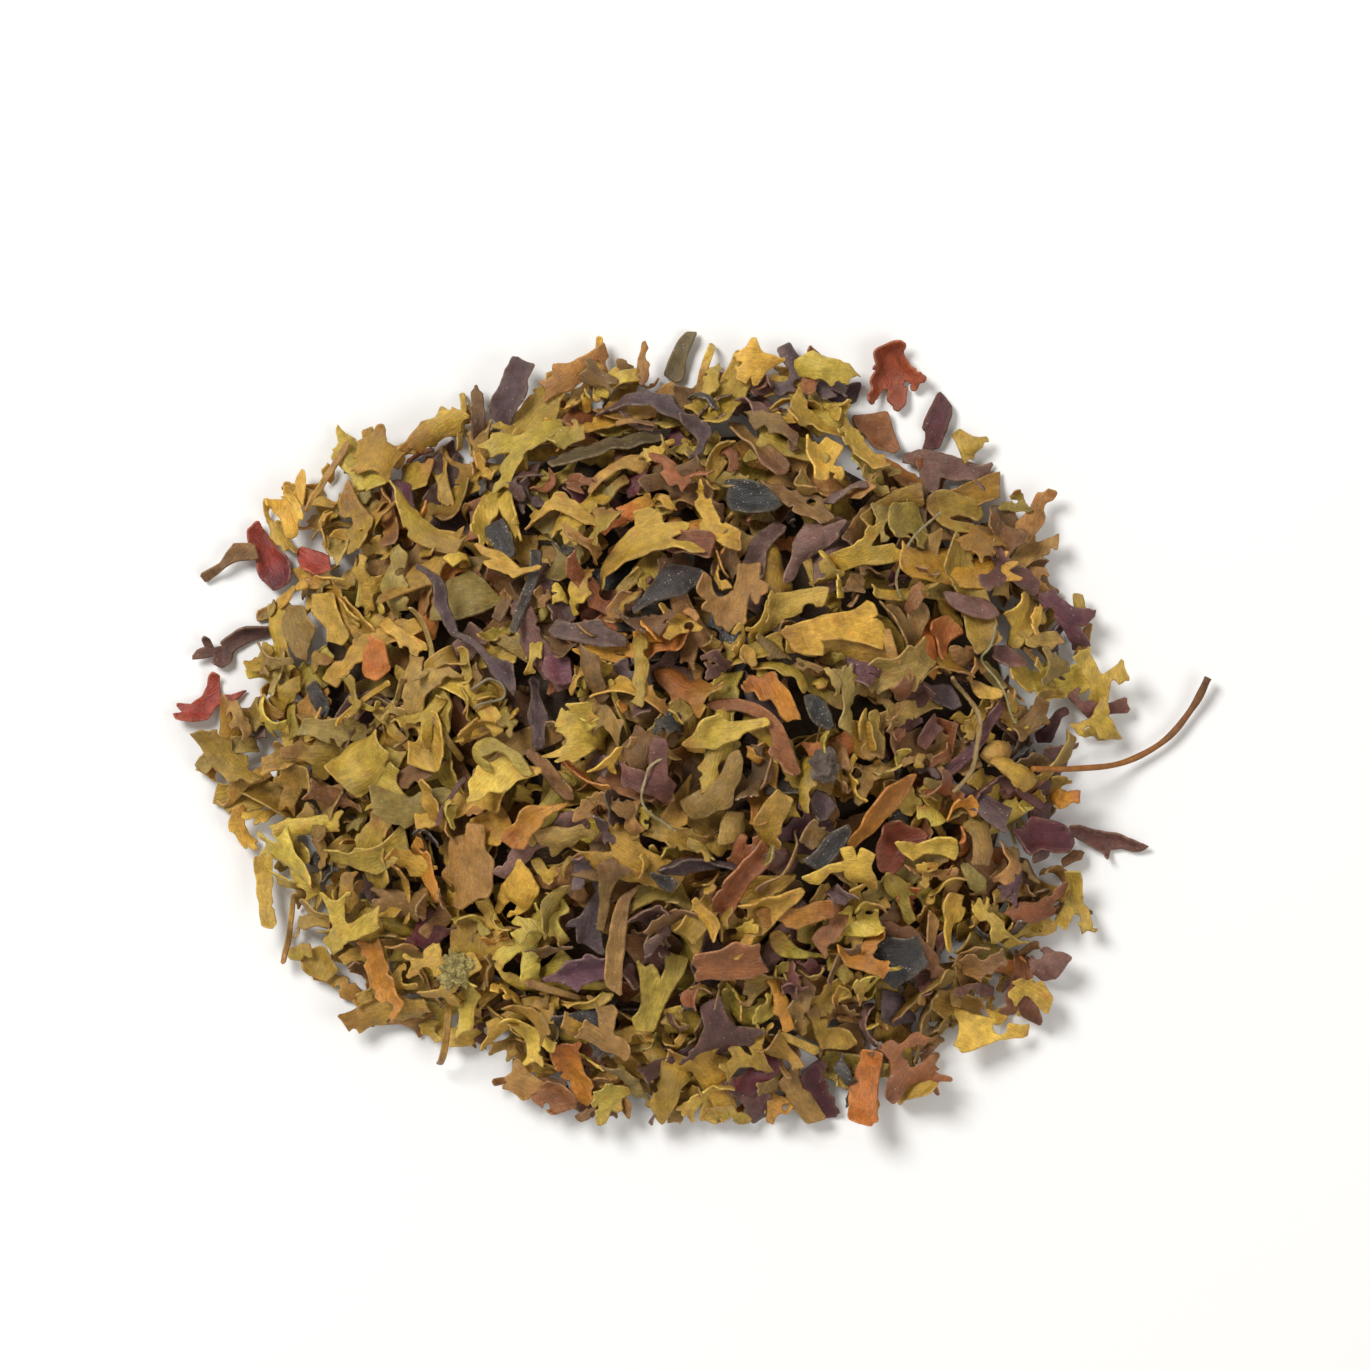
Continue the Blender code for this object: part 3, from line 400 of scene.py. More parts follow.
# More scraps that the photo shows, laid on the heap here only: colour, frame and outline.
LAID_OUTLINES = {
    "rolled_gold": ("gold", "D",
        "45,110 50,105 60,103 70,108 78,112 85,121 88,127 80,126 70,113 61,111 52,116 58,120 58,126 "
        "50,123 45,117"
    ),
    "yellow_sash": ("gold", "E",
        "23,108 33,101 39,90 50,86 57,92 70,92 83,90 85,94 69,99 64,104 56,106 48,111 40,110 31,110"
    ),
    "boomerang": ("khaki", "E",
        "63,110 66,116 65,129 61,137 60,147 49,152 37,158 32,156 25,146 47,133 55,120 58,112"
    ),
    "plum_bit": ("plum_brown", "F", "35,86 37,94 42,97 34,105 30,112 24,108 23,100 29,93"),
    "wine_ribbon": ("wine", "F",
        "75,79 81,83 73,97 67,110 59,120 46,131 36,134 35,128 42,125 53,115 61,106 67,93"
    ),
    "far_pod": ("mauve", "F", "43,4 56,8 70,10 78,16 80,22 74,25 62,24 52,19 45,12"),
    "plum_wedge": ("plum_brown", "F", "74,44 82,43 90,48 97,55 96,59 86,60 78,58 72,52"),
    "pale_chip": ("gold", "F", "60,65 66,67 72,71 81,75 80,79 72,80 65,80 62,72"),
    "wine_hook": ("wine", "F", "119,85 126,82 128,86 122,89 119,98 116,107 106,106 104,100 111,96"),
    "khaki_star": ("khaki", "G",
        "88,22 95,24 101,23 106,24 111,25 116,22 119,20 122,24 128,24 127,28 120,31 113,37 108,41 "
        "100,47 98,37 93,35 90,29"
    ),
    "gold_claw": ("gold", "G",
        "70,56 79,40 85,48 92,60 88,71 83,79 74,86 66,91 69,86 74,83 76,78 70,75 65,80 60,89 54,93 "
        "59,80 62,70"
    ),
    "rust_wave": ("amber", "G", "111,8 96,16 94,21 87,28 82,38 74,37 66,32 70,27 77,19 80,11 86,9 95,10"),
    "left_tan_strap": ("tan", "G",
        "129,47 140,40 154,47 144,56 137,68 134,85 131,96 127,95 129,80 130,62"
    ),
    "right_tan_strap": ("tan", "G", "157,62 150,72 148,90 145,118 145,134 135,127 134,110 138,85 144,70"),
    "pale_star": ("gold", "H",
        "129,36 136,34 140,42 142,35 151,39 150,47 151,54 155,60 157,74 150,67 140,65 135,58 133,52 "
        "124,54 118,64 112,62 105,55 113,53 123,48 133,45"
    ),
    "grey_shard": ("plum_grey", "H", "113,0 122,3 128,11 120,19 113,22 111,13 108,7"),
    "gold_sail": ("gold", "H",
        "82,89 88,86 93,92 100,101 108,107 120,110 123,112 110,112 96,109 88,106 83,98"
    ),
    "khaki_wedge": ("khaki", "H", "56,14 68,15 74,33 60,34 50,34 53,22"),
    "curl_bit": ("slate", "H", "6,48 16,52 24,56 27,54 22,64 18,66 11,59"),
    "near_antler": ("gold", "I",
        "0,51 12,56 18,62 23,62 34,70 29,70 20,70 21,78 26,87 21,92 18,87 14,76 8,70 3,65"
    ),
    "far_antler": ("gold", "I",
        "37,68 40,64 53,67 52,75 56,76 54,86 49,88 47,105 44,108 41,102 40,85 37,76"
    ),
    "low_slate": ("plum_grey", "I", "4,129 12,132 21,137 23,145 29,150 29,157 10,157 0,150 1,140"),
    "khaki_shield": ("khaki", "J",
        "77,82 79,79 83,82 93,82 96,88 104,95 100,102 95,110 93,118 86,115 80,103 76,90"
    ),
    "gold_blade": ("olive", "J", "96,74 113,73 117,85 127,104 123,110 111,108 109,98 96,86"),
    "red_chip": ("orange", "J", "125,114 134,108 140,101 147,107 150,124 140,131 131,128"),
    "red_fold": ("red", "J", "85,43 90,43 100,46 108,50 110,58 100,64 93,60 87,52"),
    "brown_leaf": ("brown", "J", "22,60 35,53 44,40 58,41 61,51 47,51 38,56 25,66"),
    "slate_strip": ("slate", "J", "93,135 100,131 110,146 108,157 100,150"),
}


class Scrap:
    """A flat outline, going round anticlockwise, and how it bends out of its plane, in radians for each
    millimetre. Its cuts are the sides of the outline, by their first points, that stay straight and sharp."""

    def __init__(self, outline, curl, cup, twist, cuts=()):
        self.outline = np.array(outline, float)
        self.outline -= self.outline.mean(0)
        self.curl, self.cup, self.twist = curl, cup, twist
        self.cuts = cuts

    def bent(self, uv):
        """Where points of the flat sheet lie once it is bent."""
        u, v = np.asarray(uv, float).T
        along = np.linspace(-9.0, 9.0, 91)
        heading = self.curl * along
        step = along[1] - along[0]
        x, z = (
            np.concatenate([[0], np.cumsum((slope[1:] + slope[:-1]) / 2)]) * step
            for slope in (np.cos(heading), np.sin(heading))
        )
        x, z = x - np.interp(0, along, x), z - np.interp(0, along, z)
        cup = self.cup if abs(self.cup) > 1e-4 else 1e-4
        across = np.sin(cup * v) / cup
        rise = (1 - np.cos(cup * v)) / cup
        turn = self.twist * u
        across, rise = (
            across * np.cos(turn) - rise * np.sin(turn),
            across * np.sin(turn) + rise * np.cos(turn),
        )
        facing = np.interp(u, along, heading)
        bent_x = np.interp(u, along, x) - rise * np.sin(facing)
        bent_z = np.interp(u, along, z) + rise * np.cos(facing)
        return np.stack([bent_x, across, bent_z], 1)

    def samples(self):
        """Points all over the bent sheet."""
        after = np.roll(self.outline, -1, 0)
        rim = np.concatenate([self.outline * (1 - share) + after * share for share in (0, 0.25, 0.5, 0.75)])
        return self.bent(np.concatenate([rim * share for share in (0.05, 0.25, 0.45, 0.65, 0.85, 1.0)]))


def strap_outline(length, width, bow, slants, taper, stations):
    """A strap with cut ends, bowed in its own plane by an angle in radians."""
    share = np.linspace(-0.5, 0.5, stations)
    fine = np.linspace(-0.5, 0.5, 41)
    heading = bow * fine
    x = np.concatenate([[0], np.cumsum(np.cos(heading[:-1]))]) * length / 40
    y = np.concatenate([[0], np.cumsum(np.sin(heading[:-1]))]) * length / 40
    sides = []
    for side in (-1, 1):
        row = []
        for s in share:
            half = width / 2 * (1 + taper * s)
            slant = slants[0] if s == share[0] else slants[1] if s == share[-1] else 0.0
            angle = bow * s
            along = side * half * slant
            px = np.interp(s, fine, x) + along * math.cos(angle) - side * half * math.sin(angle)
            py = np.interp(s, fine, y) + along * math.sin(angle) + side * half * math.cos(angle)
            row.append((px, py))
        sides.append(row)
    return sides[0] + sides[1][::-1]


def fork_outline(length, width, lobes, spread, draw):
    """A stem with a cut base that opens into fingers, each with a blunt tip, and round gaps between them."""
    hub = length * draw.uniform(0.38, 0.5)
    finger = length - hub
    base = width * 0.42
    points = [(0, -base), (hub * 0.75, -width * 0.5)]
    angles = [spread * (i / (lobes - 1) - 0.5) for i in range(lobes)]
    reaches = [finger * draw.uniform(0.78, 1.12) for _ in angles]
    tip = width * 1.35 / lobes * 0.42
    for i, (angle, reach) in enumerate(zip(angles, reaches)):
        ahead, side = (math.cos(angle), math.sin(angle)), (-math.sin(angle), math.cos(angle))
        start = width * 0.5 * math.sin(angle)
        for half in (-tip, tip):
            x = hub + ahead[0] * reach + side[0] * half
            points.append((x, start + ahead[1] * reach + side[1] * half))
        if i + 1 < lobes:
            middle = (angle + angles[i + 1]) / 2
            depth = min(reach, reaches[i + 1]) * draw.uniform(0.3, 0.5)
            start = width * 0.5 * math.sin(middle)
            points.append((hub + depth * math.cos(middle), start + depth * math.sin(middle)))
    return points + [(hub * 0.75, width * 0.5), (0, base)]


def chip_outline(length, width, corners, draw):
    """A broken piece with straight cut edges."""
    points = []
    for i in range(corners):
        angle = 2 * math.pi * (i + draw.uniform(-0.22, 0.22)) / corners
        reach = draw.uniform(0.86, 1.14)
        points.append((length / 2 * reach * math.cos(angle), width / 2 * reach * math.sin(angle)))
    return points


def leaf_outline(length, width, bow):
    """A pointed blade, bowed in its own plane by an angle in radians."""
    points = []
    for side in (-1, 1):
        shares = (-0.5, -0.22, 0.12, 0.36) if side < 0 else (0.5, 0.36, 0.12, -0.22)
        for s in shares:
            half = width / 2 * (1 - (2 * s) ** 2) ** 0.7
            points.append((length * s, side * half + bow * length * (s * s - 0.08)))
    return points


def single_scrap(name):
    """The scrap that one row of SINGLES describes."""
    kind, _, _, _, length, width, lobes, bow, curl, cup, twist, _ = SINGLES[name]
    draw = random.Random(name)
    bow = math.radians(bow)
    cuts = ()
    if kind == "strap":
        stations = 5 + int(abs(bow) > 0.8) * 2 + int(abs(bow) > 3) * 3
        slants = (draw.uniform(-0.5, 0.5), draw.uniform(-0.5, 0.5))
        outline = strap_outline(length, width, bow, slants, 0.3, stations)
        cuts = (stations - 1, 2 * stations - 1)
    elif kind == "fork":
        outline = fork_outline(length, width, lobes, math.radians(34 + 16 * lobes), draw)
        cuts = (len(outline) - 1,)
    elif kind == "chip":
        outline = chip_outline(length, width, lobes, draw)
        cuts = tuple(range(0, lobes, 2))
    else:
        outline = leaf_outline(length, width, bow)
    bends = [math.radians(angle) for angle in (curl, cup, twist)]
    return Scrap(outline, bends[0] / length, bends[1] / width, bends[2] / length, cuts)


def random_bends(draw, curls, cups, twist, reach, twist_reach=None):
    """Some curl, cup and twist for a scrap of a length and width: angles in degrees over its whole reach."""
    curl = math.radians(draw.uniform(*curls)) * draw.choice((-1, 1)) / reach[0]
    cup = math.radians(draw.uniform(*cups)) * draw.choice((-1, 1)) / reach[1]
    return curl, cup, math.radians(draw.uniform(-twist, twist)) / (twist_reach or reach[0])


def bed_scrap(draw):
    """One of the bed's scraps, as in the CAD model."""
    length, width = draw.uniform(*BED_LENGTHS), draw.uniform(*BED_WIDTHS)
    kind = draw.choices(("two", "three", "strap", "chip"), (4, 3, 3, 2))[0]
    if kind in ("two", "three"):
        lobes, wide, spreads = (2, width, (50, 85)) if kind == "two" else (3, width * 1.2, (60, 100))
        outline = fork_outline(length, wide, lobes, math.radians(draw.uniform(*spreads)), draw)
        cuts = (len(outline) - 1,)
    elif kind == "strap":
        slants = (draw.uniform(-0.7, 0.7), draw.uniform(-0.7, 0.7))
        bow = draw.uniform(-1.2, 1.2)
        outline = strap_outline(length, width * 0.8, bow, slants, draw.uniform(-0.5, 0.5), 3)
        cuts = (2, 5)
    else:
        outline = chip_outline(length * 0.75, width * 1.35, draw.choice((4, 5)), draw)
        cuts = (0, 2)
    return Scrap(outline, *random_bends(draw, (25, 75), (20, 70), 40, (length, width)), cuts)


def edge_radius(angle):
    """How far the heap reaches from its middle at an angle."""
    place = angle % (2 * math.pi) / (2 * math.pi) * len(EDGE_RADII)
    index, share = int(place), place % 1
    ease = (1 - math.cos(math.pi * share)) / 2
    first, second = EDGE_RADII[index % len(EDGE_RADII)], EDGE_RADII[(index + 1) % len(EDGE_RADII)]
    return first * (1 - ease) + second * ease


def heap_height(x, y):
    """The height of the heap's smooth shape."""
    share = math.hypot(x, y) / edge_radius(math.atan2(y, x))
    return HEAP_HEIGHT * max(0.0, 1 - share**FALL_POWER)


def mound_height(x, y):
    """The height of the mound that the bed lies on."""
    height = heap_height(x / MOUND_SHARE, y / MOUND_SHARE)
    return max(0.0, height * (1 - MOUND_DEPTH / HEAP_HEIGHT))


def heap_normal(x, y):
    """The direction straight out of the heap's smooth shape, which leans less on steep ground."""
    step = SLOPE_STEP
    slope_x = (heap_height(x + step, y) - heap_height(x - step, y)) / (2 * step)
    slope_y = (heap_height(x, y + step) - heap_height(x, y - step)) / (2 * step)
    steep = max(1.0, math.hypot(slope_x, slope_y) / STEEPEST_LEAN)
    return Vector((-slope_x / steep, -slope_y / steep, 1)).normalized()


def turned(x, y, heading, pitch, roll):
    """The rotation of a scrap that lies on the heap's slope."""
    lean = Vector((0, 0, 1)).rotation_difference(heap_normal(x, y)).to_matrix()
    for angle, axis in ((heading, "Z"), (pitch, "Y"), (roll, "X")):
        lean = lean @ Matrix.Rotation(angle, 3, axis)
    return lean


def tossed(draw, x, y, tilt, heading=None):
    """The rotation of a scrap that leans at random, and lies at random unless its heading is given."""
    heading = draw.uniform(0, 2 * math.pi) if heading is None else heading
    return turned(x, y, heading, draw.gauss(0, tilt), draw.gauss(0, tilt))


def random_spot(draw, low, high):
    """A place on the heap, between two shares of its area counted from the middle."""
    angle = draw.uniform(0, 2 * math.pi)
    reach = edge_radius(angle) * math.sqrt(draw.uniform(low, high))
    return reach * math.cos(angle), reach * math.sin(angle)


class HeightMap:
    """The top of what already lies in the heap, in square cells."""

    def __init__(self, cell, thickness):
        self.cell, self.thickness = cell, thickness
        self.count = int(2 * MAP_HALF / cell)
        middles = (np.arange(self.count) + 0.5) * cell - MAP_HALF
        self.top = np.array([[mound_height(x, y) for y in middles] for x in middles])
        self.shown = np.zeros(self.top.shape)

    def cells(self, points):
        """The cells that the points lie over."""
        index = ((points[:, :2] + MAP_HALF) / self.cell).astype(int)
        return tuple(np.clip(index, 0, self.count - 1).T)

    def rest_height(self, points, held):
        """How high the points are raised to rest on what is there."""
        under = points[:, 2] - self.thickness / 2
        return max(np.percentile(self.top[self.cells(points)] - under, held), -under.min())

    def add(self, points, shown=0):
        """Raises the map under some points; shown is 1 for a scrap that later ones leave in sight."""
        cells = self.cells(points)
        np.maximum.at(self.top, cells, points[:, 2] + self.thickness / 2)
        self.shown[cells] = shown


def best_rest(tries, flat, heights, held, toss, cost):
    """Of some tries to lay a scrap down, the one that costs least: its rotation, its place, and its points
    before they are raised. For each try toss gives x, y and a rotation, and cost puts a number to where it
    rests."""
    best = None
    for _ in range(tries):
        x, y, rotation = toss()
        points = flat @ np.array(rotation).T + (x, y, 0)
        z = heights.rest_height(points, held)
        price = cost(x, y, z, points)
        if best is None or price < best[0]:
            best = (price, rotation, (x, y, z), points)
    return best[1:]


def height_alone(x, y, z, points):
    """The cost of lying high."""
    return z


def height_over_heap(x, y, z, points):
    """The cost of lying higher than the heap's smooth shape."""
    return z - heap_height(x, y)


def settled_bed(heights):
    """The bed's scraps, each with its rotation and place, as in the CAD model."""
    draw = random.Random(BED_SEED)

    def toss():
        x, y = random_spot(draw, 0, BED_REACH)
        return x, y, tossed(draw, x, y, TILT)

    placed = []
    for _ in range(BED_SCRAPS):
        scrap = bed_scrap(draw)
        flat = scrap.samples()
        rotation, place, points = best_rest(TRIES, flat, heights, BED_HELD, toss, height_over_heap)
        heights.add(points + (0, 0, place[2]))
        placed.append((scrap, rotation, Vector(place)))
    return placed


def settle_lump(name, heights):
    """Raises the height map by a lump, as in the CAD model."""
    x, y, size = LUMPS[name]
    shape = bmesh.new()
    bmesh.ops.create_icosphere(shape, subdivisions=2, radius=size / 2 * MM)
    for vertex in shape.verts:
        vertex.co *= 1 + LUMP_ROUGH * noise.noise(vertex.co * LUMP_GRAIN / size + Vector((x, y, 0)))
        vertex.co.z *= LUMP_FLAT
    points = np.array([vertex.co for vertex in shape.verts]) / MM + (x, y, 0)
    shape.free()
    heights.add(points + (0, 0, heights.rest_height(points, 100)))


def settled_singles(heights):
    """The named scraps, each with its rotation and place, as in the CAD model."""
    placed = {}
    for name, (_, row_x, row_y, heading, *_) in SINGLES.items():
        scrap = single_scrap(name)
        draw = random.Random(name)

        def toss():
            x, y = row_x + draw.uniform(-NUDGE, NUDGE), row_y + draw.uniform(-NUDGE, NUDGE)
            return x, y, tossed(draw, x, y, TILT, math.radians(heading))

        flat = scrap.samples()
        rotation, place, points = best_rest(SINGLE_TRIES, flat, heights, SINGLE_HELD, toss, height_alone)
        heights.add(points + (0, 0, place[2]))
        placed[name] = (scrap, rotation, Vector(place))
    return placed


# ---- Fine outlines, drawn as a field that is above zero inside ----


def smoothed(outline):
    """The outline with a point added in each side, on a smooth curve through its corners."""
    before, after = np.roll(outline, 1, 0), np.roll(outline, -1, 0)
    beyond = np.roll(outline, -2, 0)
    middle = (9 * (outline + after) - before - beyond) / 16
    return np.stack([outline, middle], 1).reshape(-1, 2)


def smoothed_but_corners(outline):
    """As smoothed, but a side with a sharp corner at either end stays straight."""
    side = np.roll(outline, -1, 0) - outline
    before = np.roll(side, 1, 0)
    turn = np.abs(np.arctan2(before[:, 0] * side[:, 1] - before[:, 1] * side[:, 0], (before * side).sum(1)))
    sharp = turn > SHARP_CORNER
    straight = (sharp | np.roll(sharp, -1))[:, None]
    curved = smoothed(outline)[1::2]
    middle = np.where(straight, outline + side / 2, curved)
    return np.stack([outline, middle], 1).reshape(-1, 2)


class Field:
    """A square grid over some points, with one value at each crossing."""

    def __init__(self, points, margin=0.7):
        self.low = np.min(points, 0) - margin
        count = np.ceil((np.max(points, 0) + margin - self.low) / GRID).astype(int) + 1
        self.x, self.y = np.meshgrid(
            self.low[0] + np.arange(count[0]) * GRID, self.low[1] + np.arange(count[1]) * GRID
        )
        self.value = np.full(self.x.shape, -9.0)

    def fill_polygon(self, polygon):
        """The distance to a polygon's edge, above zero inside."""
        a, b = polygon, np.roll(polygon, -1, 0)
        grid = np.stack([self.x.ravel(), self.y.ravel()], 1)
        side, off = b - a, grid[:, None] - a[None]
        share = np.clip((off * side).sum(2) / (side * side).sum(1), 0, 1)
        near = np.linalg.norm(off - share[..., None] * side, axis=2).min(1)
        y = grid[:, 1:]
        reach = (b[:, 0] - a[:, 0]) * (y - a[:, 1]) / (b[:, 1] - a[:, 1] + 1e-12) + a[:, 0]
        inside = (((a[:, 1] > y) != (b[:, 1] > y)) & (grid[:, :1] < reach)).sum(1) % 2 == 1
        self.value = np.where(inside, near, -near).reshape(self.x.shape)

    def fill_strokes(self, strokes, soften):
        """Round-ended strokes that flow together where they meet.
        Each is its start, its end, and its radius at each."""
        total = 0
        for a, b, first, last in strokes:
            side = b - a
            share = np.clip(((self.x - a[0]) * side[0] + (self.y - a[1]) * side[1]) / (side @ side), 0, 1)
            near = np.hypot(self.x - a[0] - share * side[0], self.y - a[1] - share * side[1])
            total = total + np.exp(np.clip((first + share * (last - first) - near) / soften, -60, 60))
        self.value = soften * np.log(total + 1e-30)

    def blur(self, size):
        """Smooths the values over a distance."""
        taps = np.arange(-3, 4)
        weights = np.exp(-((taps * GRID / size) ** 2) / 2)
        weights /= weights.sum()
        for axis in (0, 1):
            self.value = sum(w * np.roll(self.value, t, axis) for t, w in zip(taps, weights))

    def tooth(self, place, radius):
        """Adds a round bit."""
        self.value = np.maximum(self.value, radius - np.hypot(self.x - place[0], self.y - place[1]))

    def bite(self, place, radius):
        """Takes a round bit away."""
        self.value = np.minimum(self.value, np.hypot(self.x - place[0], self.y - place[1]) - radius)

    def cut(self, start, end, inset):
        """Cuts off what lies to the right of the line from start to end."""
        side = (end - start) / max(np.linalg.norm(end - start), 1e-6)
        left = side[0] * (self.y - start[1]) - side[1] * (self.x - start[0])
        self.value = np.minimum(self.value, left - inset)

    def ripple(self, draw, size, waves):
        """Moves the outline in and out a little."""
        self.value = self.value + size * ripples(draw, self.x, self.y, waves)

    def at(self, points):
        """The values at some points."""
        place = (points - self.low) / GRID
        limit = np.array(self.value.shape)[::-1] - 2
        cell = np.clip(place.astype(int), 0, limit)
        fx, fy = np.clip(place - cell, 0, 1).T
        c, r = cell.T
        v = self.value
        low = v[r, c] * (1 - fx) + v[r, c + 1] * fx
        return low * (1 - fy) + (v[r + 1, c] * (1 - fx) + v[r + 1, c + 1] * fx) * fy


def ripples(draw, x, y, waves, count=5):
    """A smooth random surface between about -1 and 1, from waves of the lengths given."""
    total = 0
    for _ in range(count):
        angle, length = draw.uniform(0, 2 * math.pi), draw.uniform(*waves)
        phase = draw.uniform(0, 2 * math.pi)
        along = x * math.cos(angle) + y * math.sin(angle)
        total = total + np.cos(along * 2 * math.pi / length + phase)
    return total / math.sqrt(count) / 1.4


# For each way that the corners of a cell lie inside (1, 2, 4, 8 going round), the sides that the outline goes
# in and out by: 0 bottom, 1 right, 2 top, 3 left.
CROSSINGS = {
    1: ((0, 3),), 2: ((1, 0),), 3: ((1, 3),), 4: ((2, 1),), 5: ((0, 3), (2, 1)), 6: ((2, 0),), 7: ((2, 3),),
    8: ((3, 2),), 9: ((0, 2),), 10: ((1, 0), (3, 2)), 11: ((1, 2),), 12: ((3, 1),), 13: ((0, 1),),
    14: ((3, 0),),
}


def signed_area(points):
    """The area inside a closed line, above zero if the line goes round anticlockwise."""
    after = np.roll(points, -1, 0)
    return np.sum(points[:, 0] * after[:, 1] - points[:, 1] * after[:, 0]) / 2


def outline_of(field):
    """The largest closed line where the field is zero, anticlockwise."""
    v = field.value
    inside = (v > 0).astype(int)
    inside[0], inside[-1], inside[:, 0], inside[:, -1] = 0, 0, 0, 0
    v = np.where(inside == 0, np.minimum(v, -1e-6), v)
    code = inside[:-1, :-1] + 2 * inside[:-1, 1:] + 4 * inside[1:, 1:] + 8 * inside[1:, :-1]
    after = {}
    for r, c in np.argwhere((code > 0) & (code < 15)):
        sides = ((0, r, c), (1, r, c + 1), (0, r + 1, c), (1, r, c))
        for start, end in CROSSINGS[code[r, c]]:
            after[sides[start]] = sides[end]
    best, best_area = None, 0.0
    while after:
        first = next(iter(after))
        line, here = [], first
        while here in after:
            line.append(here)
            here = after.pop(here)
        upright, r, c = np.array(line).T
        one, two = v[r, c], v[r + upright, c + 1 - upright]
        share = one / (one - two)
        points = field.low + np.stack([c + share * (1 - upright), r + share * upright], 1) * GRID
        area = signed_area(points)
        if area > best_area:
            best, best_area = points, area
    return best


def simplified(line, slack, longest):
    """Fewer points along a closed line: its corners stay, and no step is much longer than longest."""
    count = len(line)
    far = int(np.argmax(np.linalg.norm(line - line[0], axis=1)))
    kept, work = {0, far}, [(0, far), (far, count)]
    closed = np.concatenate([line, line[:1]])
    while work:
        a, b = work.pop()
        if b - a < 2:
            continue
        side = closed[b] - closed[a]
        length = max(np.linalg.norm(side), 1e-9)
        off = closed[a + 1 : b] - closed[a]
        away = np.abs(off[:, 0] * side[1] - off[:, 1] * side[0]) / length
        middle = a + 1 + int(np.argmax(away)) if away.max() > slack else (a + b) // 2
        if away.max() > slack or length > longest:
            kept.add(middle)
            work += [(a, middle), (middle, b)]
    return line[sorted(kept)]


class Flake:
    """A flat mesh inside the field's outline, with how deep inside it each point lies."""

    def __init__(self, field, spacing):
        rim = simplified(outline_of(field), SLACK * spacing / FINE, spacing)
        low, high = rim.min(0), rim.max(0)
        xs = np.arange(low[0], high[0], spacing * 1.05)
        ys = np.arange(low[1], high[1], spacing * 0.91)
        grid = [(x + spacing * 0.52 * (i % 2), y) for i, y in enumerate(ys) for x in xs]
        grid = np.array(grid).reshape(-1, 2)
        inner = grid[field.at(grid) > spacing * 0.5] if len(grid) else np.zeros((0, 2))
        flat = np.concatenate([rim, inner])
        edges = [(i, (i + 1) % len(rim)) for i in range(len(rim))]
        points, _, faces, origin, _, _ = delaunay_2d_cdt([Vector(p) for p in flat], edges, [], 1, 1e-6)
        self.uv = np.array([tuple(p) for p in points])
        new = {old: i for i, olds in enumerate(origin) for old in olds}
        self.rim = np.array([new[i] for i in range(len(rim))])
        triangles = np.array([f for f in faces if len(f) == 3])
        a, b, c = (self.uv[triangles[:, i]] for i in range(3))
        turn = (b - a)[:, 0] * (c - a)[:, 1] - (b - a)[:, 1] * (c - a)[:, 0]
        self.triangles = np.where((turn < 0)[:, None], triangles[:, ::-1], triangles)
        self.depth = np.clip(field.at(self.uv), 0, None)
        self.depth[self.rim] = 0


def refined(scrap, draw, spacing):
    """The flake of one of the CAD model's scraps, with the small shapes of a real edge."""
    field = Field(scrap.outline, 0.9)
    sharp = len(scrap.cuts) > 2 or len(scrap.outline) < 7
    field.fill_polygon(scrap.outline if sharp else smoothed(smoothed(scrap.outline)))
    field.blur(0.09)
    field.ripple(draw, 0.1, (0.9, 3.0))
    for i in scrap.cuts:
        field.cut(scrap.outline[i], scrap.outline[(i + 1) % len(scrap.outline)], 0.06)
    sides = np.roll(scrap.outline, -1, 0) - scrap.outline
    for i, (start, side) in enumerate(zip(scrap.outline, sides)):
        length = max(np.linalg.norm(side), 1e-6)
        out = np.array((side[1], -side[0])) / length
        for _ in range(0 if i in scrap.cuts else max(1, int(length / 1.5))):
            place = start + side * draw.uniform(0.08, 0.92)
            size = draw.uniform(0.2, 0.6)
            if draw.random() < 0.25:
                field.tooth(place + out * draw.uniform(0.0, 0.2), size * 0.5)
            else:
                field.bite(place + out * (size - draw.uniform(0.08, 0.3)), size)
    return Flake(field, spacing)


def drawn_points(path):
    """An outline drawn from the photo, in millimetres with y going up."""
    steps = np.array([[float(n) for n in pair.split(",")] for pair in path.split()])
    return steps * (TRACE_STEP, -TRACE_STEP)


def direction(angle):
    """One step along an angle."""
    return np.array((math.cos(angle), math.sin(angle)))


def anticlockwise(points):
    """The points in the order that goes round anticlockwise."""
    return points if signed_area(points) > 0 else points[::-1]


def turned_flat(points, angle):
    """The points turned about the origin."""
    c, s = math.cos(angle), math.sin(angle)
    return points @ np.array(((c, s), (-s, c)))


def drawn_flake(points, draw, spacing):
    """The flake of an outline that was drawn from the photo."""
    points = anticlockwise(points)
    field = Field(points, 0.7)
    field.fill_polygon(smoothed_but_corners(smoothed_but_corners(points)))
    field.ripple(draw, 0.035, (0.7, 2.2))
    return Flake(field, spacing)


